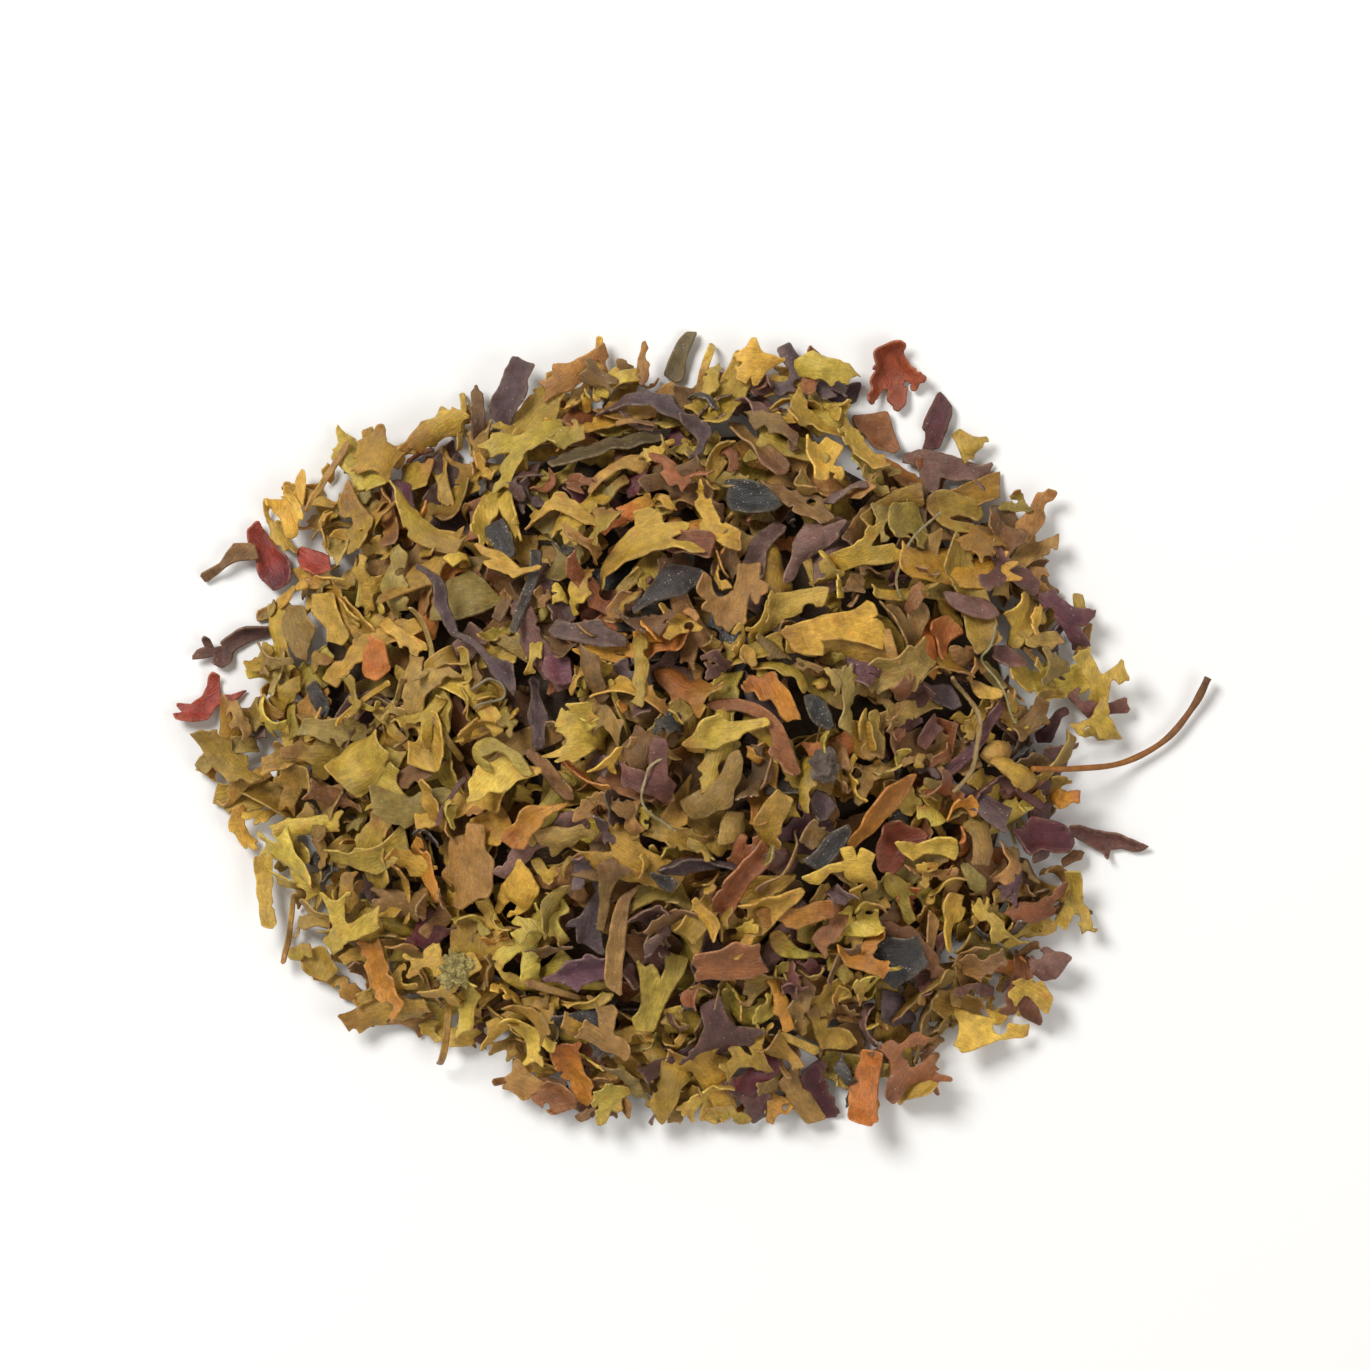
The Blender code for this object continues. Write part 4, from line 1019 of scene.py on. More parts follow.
def frond_strokes(draw, length, width, forks):
    """The strokes of a blade that widens and forks again and again, with cusps at its ends."""
    strokes = []

    def grow(place, heading, reach, half, left):
        wide = half * draw.uniform(1.0, 1.35)
        heading += draw.gauss(0, 0.22)
        end = place + reach * direction(heading)
        strokes.append((place, end, half, wide))
        if left == 0:
            for hand in draw.choice(((-1, 1), (-1, 1), (-1, 1, 0), (draw.choice((-1, 1)),))):
                turn = heading + hand * draw.uniform(0.5, 0.95)
                tip = end + wide * draw.uniform(1.3, 2.6) * direction(turn)
                strokes.append((end, tip, wide * 0.62, 0.07))
            return
        spread = draw.uniform(0.7, 1.35)
        share = draw.uniform(0.35, 0.65)
        for hand, part in ((-1, share), (1, 1 - share)):
            if draw.random() < 0.12:
                continue
            thin = wide * (0.5 + 0.4 * part)
            side = np.array((-math.sin(heading), math.cos(heading))) * hand * (wide - thin)
            grow(end + side, heading + hand * spread / 2, reach * draw.uniform(0.4, 0.85), thin, left - 1)

    grow(np.zeros(2), 0.0, length / (1 + 0.8 * forks), width / 2, forks)
    return strokes


def hollow_curve(last, after, hollow):
    """The points between two cusps, along a curve that is drawn in towards a third point."""
    return [last * (1 - t) ** 2 + hollow * 2 * t * (1 - t) + after * t * t for t in (0.2, 0.4, 0.6, 0.8)]


def toothed_outline(draw, length, width):
    """A strap whose sides and far end run out in cusps, with hollow curves between them."""
    bow = draw.uniform(-0.9, 0.9)

    def at(share, side, out):
        angle = bow * (share - 0.5)
        middle = np.array((share * length, bow * length * (share - 0.5) ** 2 / 2))
        return middle + side * out * width / 2 * np.array((-math.sin(angle), math.cos(angle)))

    slant = draw.uniform(-0.08, 0.08)
    cusps = []
    for side in (-1, 1):
        shares = sorted(draw.uniform(0.15, 0.85) for _ in range(draw.choice((1, 2, 2, 3))))
        cusps.append([(share, side, draw.uniform(0.9, 1.7)) for share in shares])
    ends = [(draw.uniform(0.9, 1.12), side, draw.uniform(0.7, 1.5)) for side in (-1, 1)]
    if draw.random() < 0.5:
        ends.insert(1, (draw.uniform(0.98, 1.15), 1, draw.uniform(-0.2, 0.2)))
    around = [(slant, -1, 0.8), *cusps[0], *ends, *cusps[1][::-1], (-slant, 1, 0.8)]
    points = []
    for (share, side, out), (next_share, next_side, next_out) in zip(around, around[1:]):
        here, after = at(share, side, out), at(next_share, next_side, next_out)
        at_end = side != next_side or next_share < 0 and share < 0
        back = 0.22 if at_end else 0
        pull = at((share + next_share) / 2 - back, (side + next_side) / 2, draw.uniform(0.1, 0.6))
        points += [here, *hollow_curve(here, after, pull)]
    return np.array([*points, at(*around[-1])])


def star_outline(draw, size):
    """Some arms with hollow curves between them, as at a place where a frond forks."""
    arms = draw.choice((3, 3, 4, 5))
    turn = draw.uniform(0, 2 * math.pi)
    angles = [turn + 2 * math.pi * (i + draw.uniform(-0.3, 0.3)) / arms for i in range(arms)]
    tips = []
    for angle in angles:
        reach, half = size / 2 * draw.uniform(0.55, 1.1), draw.uniform(0.08, 0.45)
        ahead = direction(angle)
        side = np.array((-ahead[1], ahead[0]))
        tips.append((ahead * reach - side * half, ahead * reach + side * half))
    points = []
    for (first, last), (after, _) in zip(tips, tips[1:] + tips[:1]):
        points += [first, last, *hollow_curve(last, after, (last + after) * draw.uniform(0.05, 0.3))]
    return np.array(points)


def fill_polygon(draw, kind, size):
    """The corners of a filling scrap that starts as a polygon."""
    if kind == "star":
        return star_outline(draw, size)
    if kind == "toothed":
        return anticlockwise(toothed_outline(draw, size, size * draw.uniform(0.2, 0.4)))
    wide = size * draw.uniform(0.28, 0.42)
    turn, corners = draw.uniform(0, 2 * math.pi), draw.choice((4, 5))
    angles = [turn + 2 * math.pi * (i + draw.uniform(-0.25, 0.25)) / corners for i in range(corners)]
    return np.array([(size * 0.42 * math.cos(a), wide * math.sin(a)) for a in angles])


def fill_strokes(draw, kind, size):
    """The strokes of any other filling scrap."""
    if kind == "frond":
        return frond_strokes(draw, size, size * draw.uniform(0.18, 0.3), draw.choice((1, 1, 2)))
    if kind == "shred":
        half = draw.uniform(0.14, 0.26)
        end = np.array((size, draw.gauss(0, 0.6)))
        return [(np.zeros(2), end, half, half * draw.uniform(0.5, 1.2))]
    half = size * draw.uniform(0.1, 0.18)
    middle = np.array((size * 0.5, draw.gauss(0, size * 0.08)))
    end = np.array((size, draw.gauss(0, size * 0.1)))
    wide = half * draw.uniform(0.8, 1.4)
    return [(np.zeros(2), middle, half, wide), (middle, end, wide, half * draw.uniform(0.6, 1.6))]


def nibble(field, draw, polygon):
    """Makes the edge uneven and takes a few round bites out of it, on a polygon away from its corners."""
    field.ripple(draw, 0.07, (0.8, 2.6))
    line = outline_of(field) if polygon is None else polygon
    for _ in range(draw.choice((2, 3, 4))):
        a, b = draw.choice(line), draw.choice(line)
        place = a if polygon is None else a * 0.7 + b * 0.3
        radius = draw.uniform(0.22, 0.6)
        out = place - line.mean(0)
        out = out / max(np.linalg.norm(out), 1e-6)
        field.bite(place + out * (radius - draw.uniform(0.1, 0.35)), radius)


def cut_ends(field, draw, kind, size):
    """Cuts a frond or a strap off straight at its start, a strap at its end, and some fronds across."""
    if kind in ("frond", "strap"):
        slant = draw.uniform(-0.5, 0.5)
        field.cut(np.array((slant, 1.0)), np.array((-slant, -1.0)), 0.0)
    if kind == "strap":
        slant = draw.uniform(-0.7, 0.7)
        field.cut(np.array((size + slant, -1.0)), np.array((size - slant, 1.0)), 0.0)
    if kind == "frond" and draw.random() < 0.4:
        away = direction(draw.uniform(-0.9, 0.9))
        across = np.array((-away[1], away[0]))
        place = away * size * draw.uniform(0.75, 1.0)
        field.cut(place - across, place + across, 0.0)


def fill_flake(draw, kind, size, spacing):
    """A flake of one of the FILL_KINDS; one that comes out too small is drawn again, larger."""
    polygon = None
    if kind in POLYGON_KINDS:
        polygon = fill_polygon(draw, kind, size)
        field = Field(polygon)
        field.fill_polygon(polygon)
    else:
        strokes = fill_strokes(draw, kind, size)
        field = Field(np.array([p for a, b, *_ in strokes for p in (a, b)]), 0.5 + size * 0.3)
        field.fill_strokes(strokes, 0.09 if kind != "shred" else 0.05)
    if kind != "shred":
        nibble(field, draw, polygon)
    cut_ends(field, draw, kind, size)
    if np.sum(field.value > 0) * GRID**2 < LEAST_AREA:
        return fill_flake(draw, kind, size * 1.2, spacing)
    flake = Flake(field, spacing)
    flake.uv = flake.uv - flake.uv.mean(0)
    return flake


# ---- Bent sheets with two faces and a rounded rim ----


def vertex_normals(points, triangles):
    """The direction straight out of the sheet at each point."""
    a, b, c = (points[triangles[:, i]] for i in range(3))
    facing = np.cross(b - a, c - a)
    total = np.zeros_like(points)
    for i in range(3):
        np.add.at(total, triangles[:, i], facing)
    return total / np.maximum(np.linalg.norm(total, axis=1, keepdims=True), 1e-12)


class Solid:
    """A thin sheet's points, triangles, flat places and rim marks."""

    def __init__(self, flake, scrap, draw, ruffle=RUFFLE, lift=LIFT, thickness=SHEET):
        u, v = flake.uv.T
        middle = scrap.bent(flake.uv)
        normals = vertex_normals(middle, flake.triangles)
        edge = np.exp(-((flake.depth / CURLED_RIM) ** 2))
        up = math.copysign(1.0, scrap.cup)
        rise = lift * up * edge + ruffle * edge * ripples(draw, u, v, (1.3, 3.2))
        rise = rise + CRINKLE * ripples(draw, u, v, (0.9, 2.0))
        rise = rise + 1.5 * CRINKLE * ripples(draw, u, v, (2.0, 4.5))
        middle = middle + normals * rise[:, None]
        normals = vertex_normals(middle, flake.triangles)
        whole = np.clip(flake.depth / EDGE_WIDTH, 0, 1)
        half = thickness / 2 * (EDGE_SHARE + (1 - EDGE_SHARE) * whole)[:, None]
        rim = middle[flake.rim]
        along = np.roll(rim, -1, 0) - np.roll(rim, 1, 0)
        out = np.cross(along, normals[flake.rim])
        out /= np.maximum(np.linalg.norm(out, axis=1, keepdims=True), 1e-9)
        count, ring = len(middle), len(flake.rim)
        faces = [middle + normals * half, middle - normals * half]
        self.points = np.concatenate([*faces, rim + out * thickness * EDGE_ROUND])
        one, two = flake.rim, np.roll(flake.rim, -1)
        edge_one = 2 * count + np.arange(ring)
        edge_two = 2 * count + (np.arange(ring) + 1) % ring
        self.triangles = np.concatenate([
            flake.triangles,
            flake.triangles[:, ::-1] + count,
            np.stack([one + count, two + count, edge_two], 1),
            np.stack([one + count, edge_two, edge_one], 1),
            np.stack([edge_one, edge_two, two], 1),
            np.stack([edge_one, two, one], 1),
        ])
        self.flat = np.concatenate([flake.uv, flake.uv, flake.uv[flake.rim]])
        mark = 0.3 * (flake.depth == 0)
        self.rim = np.concatenate([mark, mark, np.ones(ring)])
        self.coarse = middle[:: max(1, len(middle) // 70)]
        side = np.stack([one, two], 1)
        self.creases = np.concatenate([side, side + count])

    def moved(self, rotation, place):
        """The points, turned and then moved to a place."""
        return self.points @ np.array(rotation).T + np.array(place)


def shown_object(name, mesh, material, slot):
    """A mesh as an object of the one body, with its look."""
    mesh.materials.append(material)
    made = bpy.data.objects.new(name, mesh)
    bpy.context.scene.collection.objects.link(made)
    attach(made, "root")
    return made


class Pile:
    """Sheets and tubes of one colour, gathered in one mesh."""

    def __init__(self):
        self.parts = []
        self.count = 0

    def add(self, points, triangles, flat, rim, colour, creases=()):
        """Flat holds each point's place on the flat sheet and a number of its own, and colour is one for all
        or one for each. Creases are the pairs of points with a sharp edge between them."""
        colour = np.broadcast_to(np.array(colour, float), (len(points), 3))
        creases = np.array(creases, int).reshape(-1, 2) + self.count
        self.parts.append((points, triangles + self.count, flat, rim, colour, creases))
        self.count += len(points)

    def build(self, name, material, slot):
        """The pile as one object."""
        points, triangles, flat, rim, colour, creases = (np.concatenate(rows) for rows in zip(*self.parts))
        shift = np.array((*CENTRE_SHIFT, 0))
        mesh = bpy.data.meshes.new(name)
        mesh.vertices.add(len(points))
        mesh.vertices.foreach_set("co", ((points + shift) * MM).astype(np.float32).ravel())
        mesh.loops.add(len(triangles) * 3)
        mesh.loops.foreach_set("vertex_index", triangles.astype(np.int32).ravel())
        mesh.polygons.add(len(triangles))
        mesh.polygons.foreach_set("loop_start", np.arange(0, len(triangles) * 3, 3, dtype=np.int32))
        mesh.polygons.foreach_set("use_smooth", np.ones(len(triangles), bool))
        mesh.update(calc_edges=True)
        mesh.validate()
        edges = np.empty(len(mesh.edges) * 2, np.int32)
        mesh.edges.foreach_get("vertices", edges)
        edges, creases = (np.sort(pairs.reshape(-1, 2).astype(np.int64), 1) for pairs in (edges, creases))
        sharp = np.isin(edges @ (len(points), 1), creases @ (len(points), 1))
        mesh.attributes.new("sharp_edge", "BOOLEAN", "EDGE").data.foreach_set("value", sharp)
        shown = np.concatenate([colour, np.ones((len(colour), 1))], 1)
        for title, kind, field, values in (
            ("flat", "FLOAT_VECTOR", "vector", flat),
            ("rim", "FLOAT", "value", rim),
            ("tint", "FLOAT_COLOR", "color", shown),
        ):
            attribute = mesh.attributes.new(title, kind, "POINT")
            attribute.data.foreach_set(field, values.astype(np.float32).ravel())
        return shown_object(name, mesh, material, slot)


def tinted(slot, flat, draw, shade):
    """The colour of each point of a scrap: its slot's first colour, made lighter or darker at random and by
    shade, which is painted shade for the scraps deep in the gaps, and turning to the second one towards one
    end."""
    first, second = (np.array(colour) for colour in PALETTE[slot][:2])
    # shade darkens both colours; for the scraps deep in the gaps it is painted shade, darker and warmer.
    value = draw.uniform(*VALUES) * np.array(shade)
    warm = draw.uniform(-WARMTH, WARMTH)
    first = first * value * (1 + warm, 1 - warm * 0.6, 1 - warm)
    second = second * value
    reach = np.abs(flat[:, 0]).max() + 1e-6
    end = draw.choice((-1, 1)) * flat[:, 0] / reach
    share = (end - draw.uniform(-0.2, 0.9)) * 1.6
    share = np.clip(share + 0.25 * ripples(draw, *flat[:, :2].T, (2.0, 5.0)), 0, 1)
    share = share * draw.choice((0.0, 0.5, 0.85, 1.0))
    return first * (1 - share[:, None]) + second * share[:, None]


def with_own_number(flat, draw):
    """The flat places with a number for each scrap, so that no two have the same blotches."""
    return np.concatenate([flat, np.full((len(flat), 1), draw.uniform(0, 40))], 1)


# ---- Materials ----


class Look:
    """A new material and its nodes. The short functions give a node's output."""

    def __init__(self, name):
        self.made = bpy.data.materials.new(name)
        self.made.use_nodes = True
        self.tree = self.made.node_tree
        self.shader = self.tree.nodes["Principled BSDF"]

    def fill(self, node, inputs):
        """Sets each input of a node to a number, or links it to another node's output."""
        for title, value in inputs.items():
            if isinstance(value, bpy.types.NodeSocket):
                self.tree.links.new(value, node.inputs[title])
            else:
                node.inputs[title].default_value = value

    def node(self, kind, inputs, **settings):
        """A new node with its inputs filled, and its other settings."""
        node = self.tree.nodes.new("ShaderNode" + kind)
        for title, setting in settings.items():
            setattr(node, title, setting)
        self.fill(node, inputs)
        return node

    def attribute(self, name):
        """A value that the mesh holds for each point."""
        return self.node("Attribute", {}, attribute_name=name)

    def math(self, kind, a, b):
        return self.node("Math", {0: a, 1: b}, operation=kind).outputs[0]

    def times(self, first, *others):
        """All of them multiplied."""
        for other in others:
            first = self.math("MULTIPLY", first, other)
        return first

    def noise(self, vector, scale, detail=3.0, roughness=0.55):
        inputs = {"Vector": vector, "Scale": scale, "Detail": detail, "Roughness": roughness}
        return self.node("TexNoise", inputs).outputs["Fac"]

    def ramp(self, value, low, high, start=0.0, end=1.0):
        """A smooth step from start to end, while the value goes from low to high."""
        inputs = {"Value": value, "From Min": low, "From Max": high, "To Min": start, "To Max": end}
        return self.node("MapRange", inputs, interpolation_type="SMOOTHSTEP").outputs["Result"]

    def mix(self, factor, a, b, kind="MIX"):
        """Two colours mixed; a colour may be three numbers."""
        node = self.node("Mix", {}, data_type="RGBA", blend_type=kind)
        wanted = [i for i, socket in enumerate(node.inputs) if socket.enabled]
        values = [(*value, 1) if isinstance(value, tuple) else value for value in (factor, a, b)]
        self.fill(node, dict(zip(wanted, values)))
        return next(socket for socket in node.outputs if socket.enabled)

    def finished(self, colour, roughness, height, strength, distance):
        """The material, with its colour, its roughness, and a bump of some strength and height."""
        bump = self.node("Bump", {"Strength": strength, "Distance": distance, "Height": height})
        normal = bump.outputs["Normal"]
        self.fill(self.shader, {"Base Color": colour, "Roughness": roughness, "Normal": normal})
        return self.made


def blade_material(name, specks, roughness, see_through):
    """Dried seaweed blade: its own colour with blotches, pale specks, a lighter rim and fine wrinkles."""
    look = Look(name)
    tint, flat, rim = (look.attribute(title) for title in ("tint", "flat", "rim"))
    where = flat.outputs["Vector"]
    broad, middle = look.noise(where, 0.8, 2.0), look.noise(where, 2.6)
    fine = look.noise(where, 9.0, 3.0, 0.65)
    stretched = look.node("VectorMath", {0: where, 1: (1.0, 4.5, 1.0)}, operation="MULTIPLY")
    streak = look.noise(stretched.outputs["Vector"], 1.6, 3.0, 0.6)
    shade = look.times(
        look.ramp(broad, 0.3, 0.7, 0.8, 1.18),
        look.ramp(middle, 0.25, 0.75, 0.86, 1.12),
        look.ramp(fine, 0.3, 0.7, 0.9, 1.18),
        look.ramp(streak, 0.3, 0.7, 0.9, 1.16),
    )
    grey = look.node("CombineColor", {0: shade, 1: shade, 2: shade})
    colour = look.mix(1.0, tint.outputs["Color"], grey.outputs[0], "MULTIPLY")
    brown = look.mix(1.0, colour, (0.8, 0.55, 0.5), "MULTIPLY")
    blotch = look.ramp(look.noise(where, 1.3), 0.55, 0.72, 0.0, 0.7)
    colour = look.mix(blotch, colour, brown)
    bright = look.mix(1.0, colour, (1.55, 1.5, 1.6), "MULTIPLY")
    pale = look.mix(0.35, bright, (0.5, 0.38, 0.22))
    colour = look.mix(look.times(rim.outputs["Fac"], look.ramp(middle, 0.35, 0.6, 0.25, 0.8)), colour, pale)
    dots = look.node("TexVoronoi", {"Scale": 3.4, "Vector": where})
    speck = look.ramp(dots.outputs["Distance"], 0.1, 0.2, 1.0, 0.0)
    patch = look.ramp(look.noise(where, 1.7, 2.0), 0.62 - 0.25 * specks, 0.74 - 0.2 * specks)
    dust = look.times(look.ramp(look.noise(where, 16.0, 2.0), 0.58, 0.68), 0.55 * specks)
    speck = look.times(look.math("MAXIMUM", speck, dust), patch, 0.3 + 0.5 * specks)
    colour = look.mix(speck, colour, (0.5, 0.45, 0.38))
    look.fill(look.shader, {
        "Subsurface Weight": see_through, "Subsurface Radius": (0.7, 0.4, 0.12), "Subsurface Scale": MM,
        "Specular IOR Level": 0.4,
    })
    height = look.times(fine, 0.4)
    for wrinkles, share in ((middle, 0.7), (streak, 0.9)):
        height = look.math("ADD", height, look.times(wrinkles, share))
    sheen = look.ramp(middle, 0.3, 0.7, roughness - 0.07, roughness + 0.1)
    return look.finished(colour, sheen, height, 0.5, BLADE_BUMP)


def crust_material(name, first, second, scale):
    """A rough crust: two colours in a coarse grain, and a deep bump."""
    look = Look(name)
    place = look.node("TexCoord", {}).outputs["Object"]
    coarse, fine = look.noise(place, scale, 4.0, 0.65), look.noise(place, scale * 4, 3.0, 0.6)
    colour = look.mix(look.ramp(coarse, 0.38, 0.62), first, second)
    dark = look.mix(1.0, colour, (0.45, 0.4, 0.35), "MULTIPLY")
    colour = look.mix(look.ramp(fine, 0.45, 0.62, 0.0, 0.6), colour, dark)
    return look.finished(colour, 0.9, fine, 0.8, CRUST_BUMP)


# One material for each kind of scrap, with its last three numbers from PALETTE.
MATERIALS = {slot: blade_material(f"blade_{slot}", *PALETTE[slot][2:]) for slot in PALETTE}


# ---- The scraps ----

piles = {slot: Pile() for slot in BED_COLOURS}


def random_slot(draw, x):
    """A colour for a scrap at x."""
    weights = []
    for slot, weight in BED_COLOURS.items():
        commoner = 1.0 if slot in USUAL_COLOURS else 1 + RISE_TOWARDS_X * x
        weights.append(max(weight * commoner, LEAST_WEIGHT))
    return draw.choices(list(BED_COLOURS), weights)[0]


def kept_inside(solid, rotation, place):
    """The place, moved as little as it takes for the sheet to stay inside the solids' own box."""
    points = solid.moved(rotation, place)
    return place + np.maximum(BOX_LOW - points.min(0), 0) + np.minimum(BOX_HIGH - points.max(0), 0)


def add_to_pile(pile, solid, rotation, place, slot, draw, heights=None, shade=1.0, shown=0):
    """Puts a scrap in a pile, and in the height map if there is one."""
    place = kept_inside(solid, rotation, np.array(place, float))
    flat = with_own_number(solid.flat, draw)
    moved = solid.moved(rotation, place)
    pile.add(moved, solid.triangles, flat, solid.rim, tinted(slot, solid.flat, draw, shade), solid.creases)
    if heights:
        heights.add(moved, shown)


def bed_flake(scrap, draw):
    """A forked scrap of the bed gets an outline of its own, as long as it is in the CAD model."""
    if len(scrap.cuts) > 1:
        return refined(scrap, draw, MIDDLE)
    length = np.ptp(scrap.outline[:, 0])
    return fill_flake(draw, draw.choice(("frond", "toothed", "toothed", "star")), length, MIDDLE)


def make_bed(placed, heights):
    """The bed's scraps, where the CAD model has them."""
    draw = random.Random(BED_LOOK_SEED)
    for scrap, rotation, place in placed:
        solid = Solid(bed_flake(scrap, draw), scrap, draw)
        slot = random_slot(draw, place.x)
        add_to_pile(piles[slot], solid, rotation, place, slot, draw, heights)


def make_singles(placed, heights):
    """Each named scrap, near its CAD node. Of some leans the one that lies lowest on the others is kept."""
    for name, (scrap, rotation, place) in placed.items():
        draw = random.Random(name + " look")
        slot = SINGLES[name][-1]
        corners = scrap.bent(smoothed(scrap.outline))
        flake = None
        if name in NAMED_OUTLINES:
            drawn = drawn_points(NAMED_OUTLINES[name])
            drawn = drawn - (drawn.min(0) + drawn.max(0)) / 2
            drawn = turned_flat(drawn, -math.radians(SINGLES[name][3]))
            flake = drawn_flake(drawn, draw, FINE)
            corners = scrap.bent(drawn)
        solid = Solid(flake or refined(scrap, draw, FINE), scrap, draw)
        corners = corners @ np.array(rotation).T
        edges = (corners.min(0) + corners.max(0)) / 2
        low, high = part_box(name)
        place = np.array((low + high) / 2) / MM - (*CENTRE_SHIFT, 0) - edges
        best = None
        for tilt in np.linspace(0, SINGLE_LEAN, SINGLE_LOOKS):
            lean = Matrix.Rotation(draw.gauss(0, tilt), 3, "X")
            lean = lean @ Matrix.Rotation(draw.gauss(0, tilt), 3, "Y")
            leant = lean @ rotation
            points = solid.coarse @ np.array(leant).T + (*place[:2], 0)
            z = max(heights.rest_height(points, LAID_HELD), place[2] - LET_DOWN)
            if best is None or z < best[0]:
                best = (z, leant)
        rotation = best[1]
        place[2] = min(best[0], place[2] + RAISED)
        pile = Pile()
        add_to_pile(pile, solid, rotation, place, slot, draw, heights, shown=1)
        made = pile.build(f"{name}_scrap", MATERIALS[slot], slot)
        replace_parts(made, name)


def make_laid(heights):
    """The scraps that were drawn from the photo and aren't in the CAD model, each at its place there."""
    for name, (slot, frame_name, path) in LAID_OUTLINES.items():
        draw = random.Random(name)
        drawn = drawn_points(path)
        middle = (drawn.min(0) + drawn.max(0)) / 2
        x, y = middle + FRAMES[frame_name]
        drawn = drawn - middle
        heading = math.atan2(*np.linalg.eigh(drawn.T @ drawn)[1][::-1, 1])
        drawn = turned_flat(drawn, -heading)
        reach = np.ptp(drawn, axis=0)
        bend = Scrap(ANY_OUTLINE, *random_bends(draw, (15, 40), (25, 60), 25, reach))
        solid = Solid(drawn_flake(drawn, draw, FINE), bend, draw)

        def toss():
            return x, y, tossed(draw, x, y, TILT, heading)

        rotation, place, _ = best_rest(TRIES, solid.coarse, heights, LAID_HELD, toss, height_alone)
        add_to_pile(piles[slot], solid, rotation, place, slot, draw, heights, shown=1)


def fill_scrap(draw, size, spacing, curly):
    """One of the smaller scraps; curly goes from 0 to 1."""
    kind = draw.choices(list(FILL_KINDS), list(FILL_KINDS.values()))[0]
    flake = fill_flake(draw, kind, size, spacing)
    length, width = np.ptp(flake.uv, axis=0)
    reach = (max(length, LEAST_CURL_REACH), max(width, LEAST_CUP_REACH))
    curls, cups = (20, 70 + 110 * curly), (15, 60 + 80 * curly)
    bends = random_bends(draw, curls, cups, 60, reach, max(length, LEAST_TWIST_REACH))
    ruffle, lift = draw.uniform(*FILL_RUFFLES), draw.uniform(*FILL_LIFTS)
    return Solid(flake, Scrap(ANY_OUTLINE, *bends), draw, ruffle, lift, FILL_SHEET)


def make_under_fill(count):
    """Scraps deep in the gaps of the bed, seen only between the others, darkened and warmed as painted shade.
    """
    draw = random.Random(UNDER_SEED)
    for _ in range(count):
        x, y = random_spot(draw, 0, UNDER_REACH)
        solid = fill_scrap(draw, draw.uniform(*UNDER_SIZES), COARSE, UNDER_CURLY)
        rotation = tossed(draw, x, y, UNDER_TILT)
        points = solid.points @ np.array(rotation).T
        z = max(heap_height(x, y) - draw.uniform(*UNDER_DEPTHS), 0.2 - points[:, 2].min())
        slot = random_slot(draw, x)
        # These scraps get painted shade: their colour is made darker and warmer, as deep in the gaps.
        add_to_pile(piles[slot], solid, rotation, (x, y, z), slot, draw, shade=DEEP_PAINTED_SHADE)


def make_over_fill(count, heights, sizes, share_range, held, tilt, curly, seed):
    """Smaller scraps between and on the others, each dropped where it lies lowest and covers least."""
    draw = random.Random(seed)

    def toss():
        x, y = random_spot(draw, *share_range)
        return x, y, tossed(draw, x, y, tilt)

    def cost(x, y, z, points):
        covered = heights.shown[heights.cells(points)].mean()
        return z - heap_height(x, y) + COVER_COST * covered

    for _ in range(count):
        solid = fill_scrap(draw, draw.uniform(*sizes), MIDDLE, curly)
        rotation, place, _ = best_rest(FILL_TRIES, solid.coarse, heights, held, toss, cost)
        slot = random_slot(draw, place[0])
        add_to_pile(piles[slot], solid, rotation, place, slot, draw, heights)


def make_core():
    """A dark mound under the bed whose colour is painted shade, seen only as the depth of the gaps."""
    pile = Pile()
    rings, sectors = CORE_RINGS, CORE_SECTORS
    points = [(0.0, 0.0, mound_height(0, 0) - CORE_DEPTH)]
    for ring in range(1, rings + 1):
        for sector in range(sectors):
            angle = 2 * math.pi * sector / sectors
            reach = edge_radius(angle) * MOUND_SHARE * CORE_FIT * ring / rings
            x, y = reach * math.cos(angle), reach * math.sin(angle)
            z = mound_height(x, y) - CORE_DEPTH + 0.5 * noise.noise(Vector((x, y, 3)) * 0.5)
            points.append((x, y, max(z, 0.05)))
    foot = len(points)
    points += [(x, y, 0.0) for x, y, _ in points[-sectors:]]
    points.append((0.0, 0.0, 0.0))
    triangles = []
    for s in range(sectors):
        after = (s + 1) % sectors
        triangles.append((0, 1 + s, 1 + after))
        for ring in range(rings):
            a, b = 1 + ring * sectors + s, 1 + ring * sectors + after
            triangles += [(a, a + sectors, b + sectors), (a, b + sectors, b)]
        triangles.append((len(points) - 1, foot + after, foot + s))
    points = np.array(points)
    flat = np.concatenate([points[:, :2], np.full((len(points), 1), 3.0)], 1)
    # The core's colour is painted shade: the dark of the deep gaps between the scraps.
    pile.add(points, np.array(triangles), flat, np.zeros(len(points)), CORE_PAINTED_SHADE)
    made = pile.build("painted_shade_core", MATERIALS["brown"], "brown")
    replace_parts(made, "olive_bed")


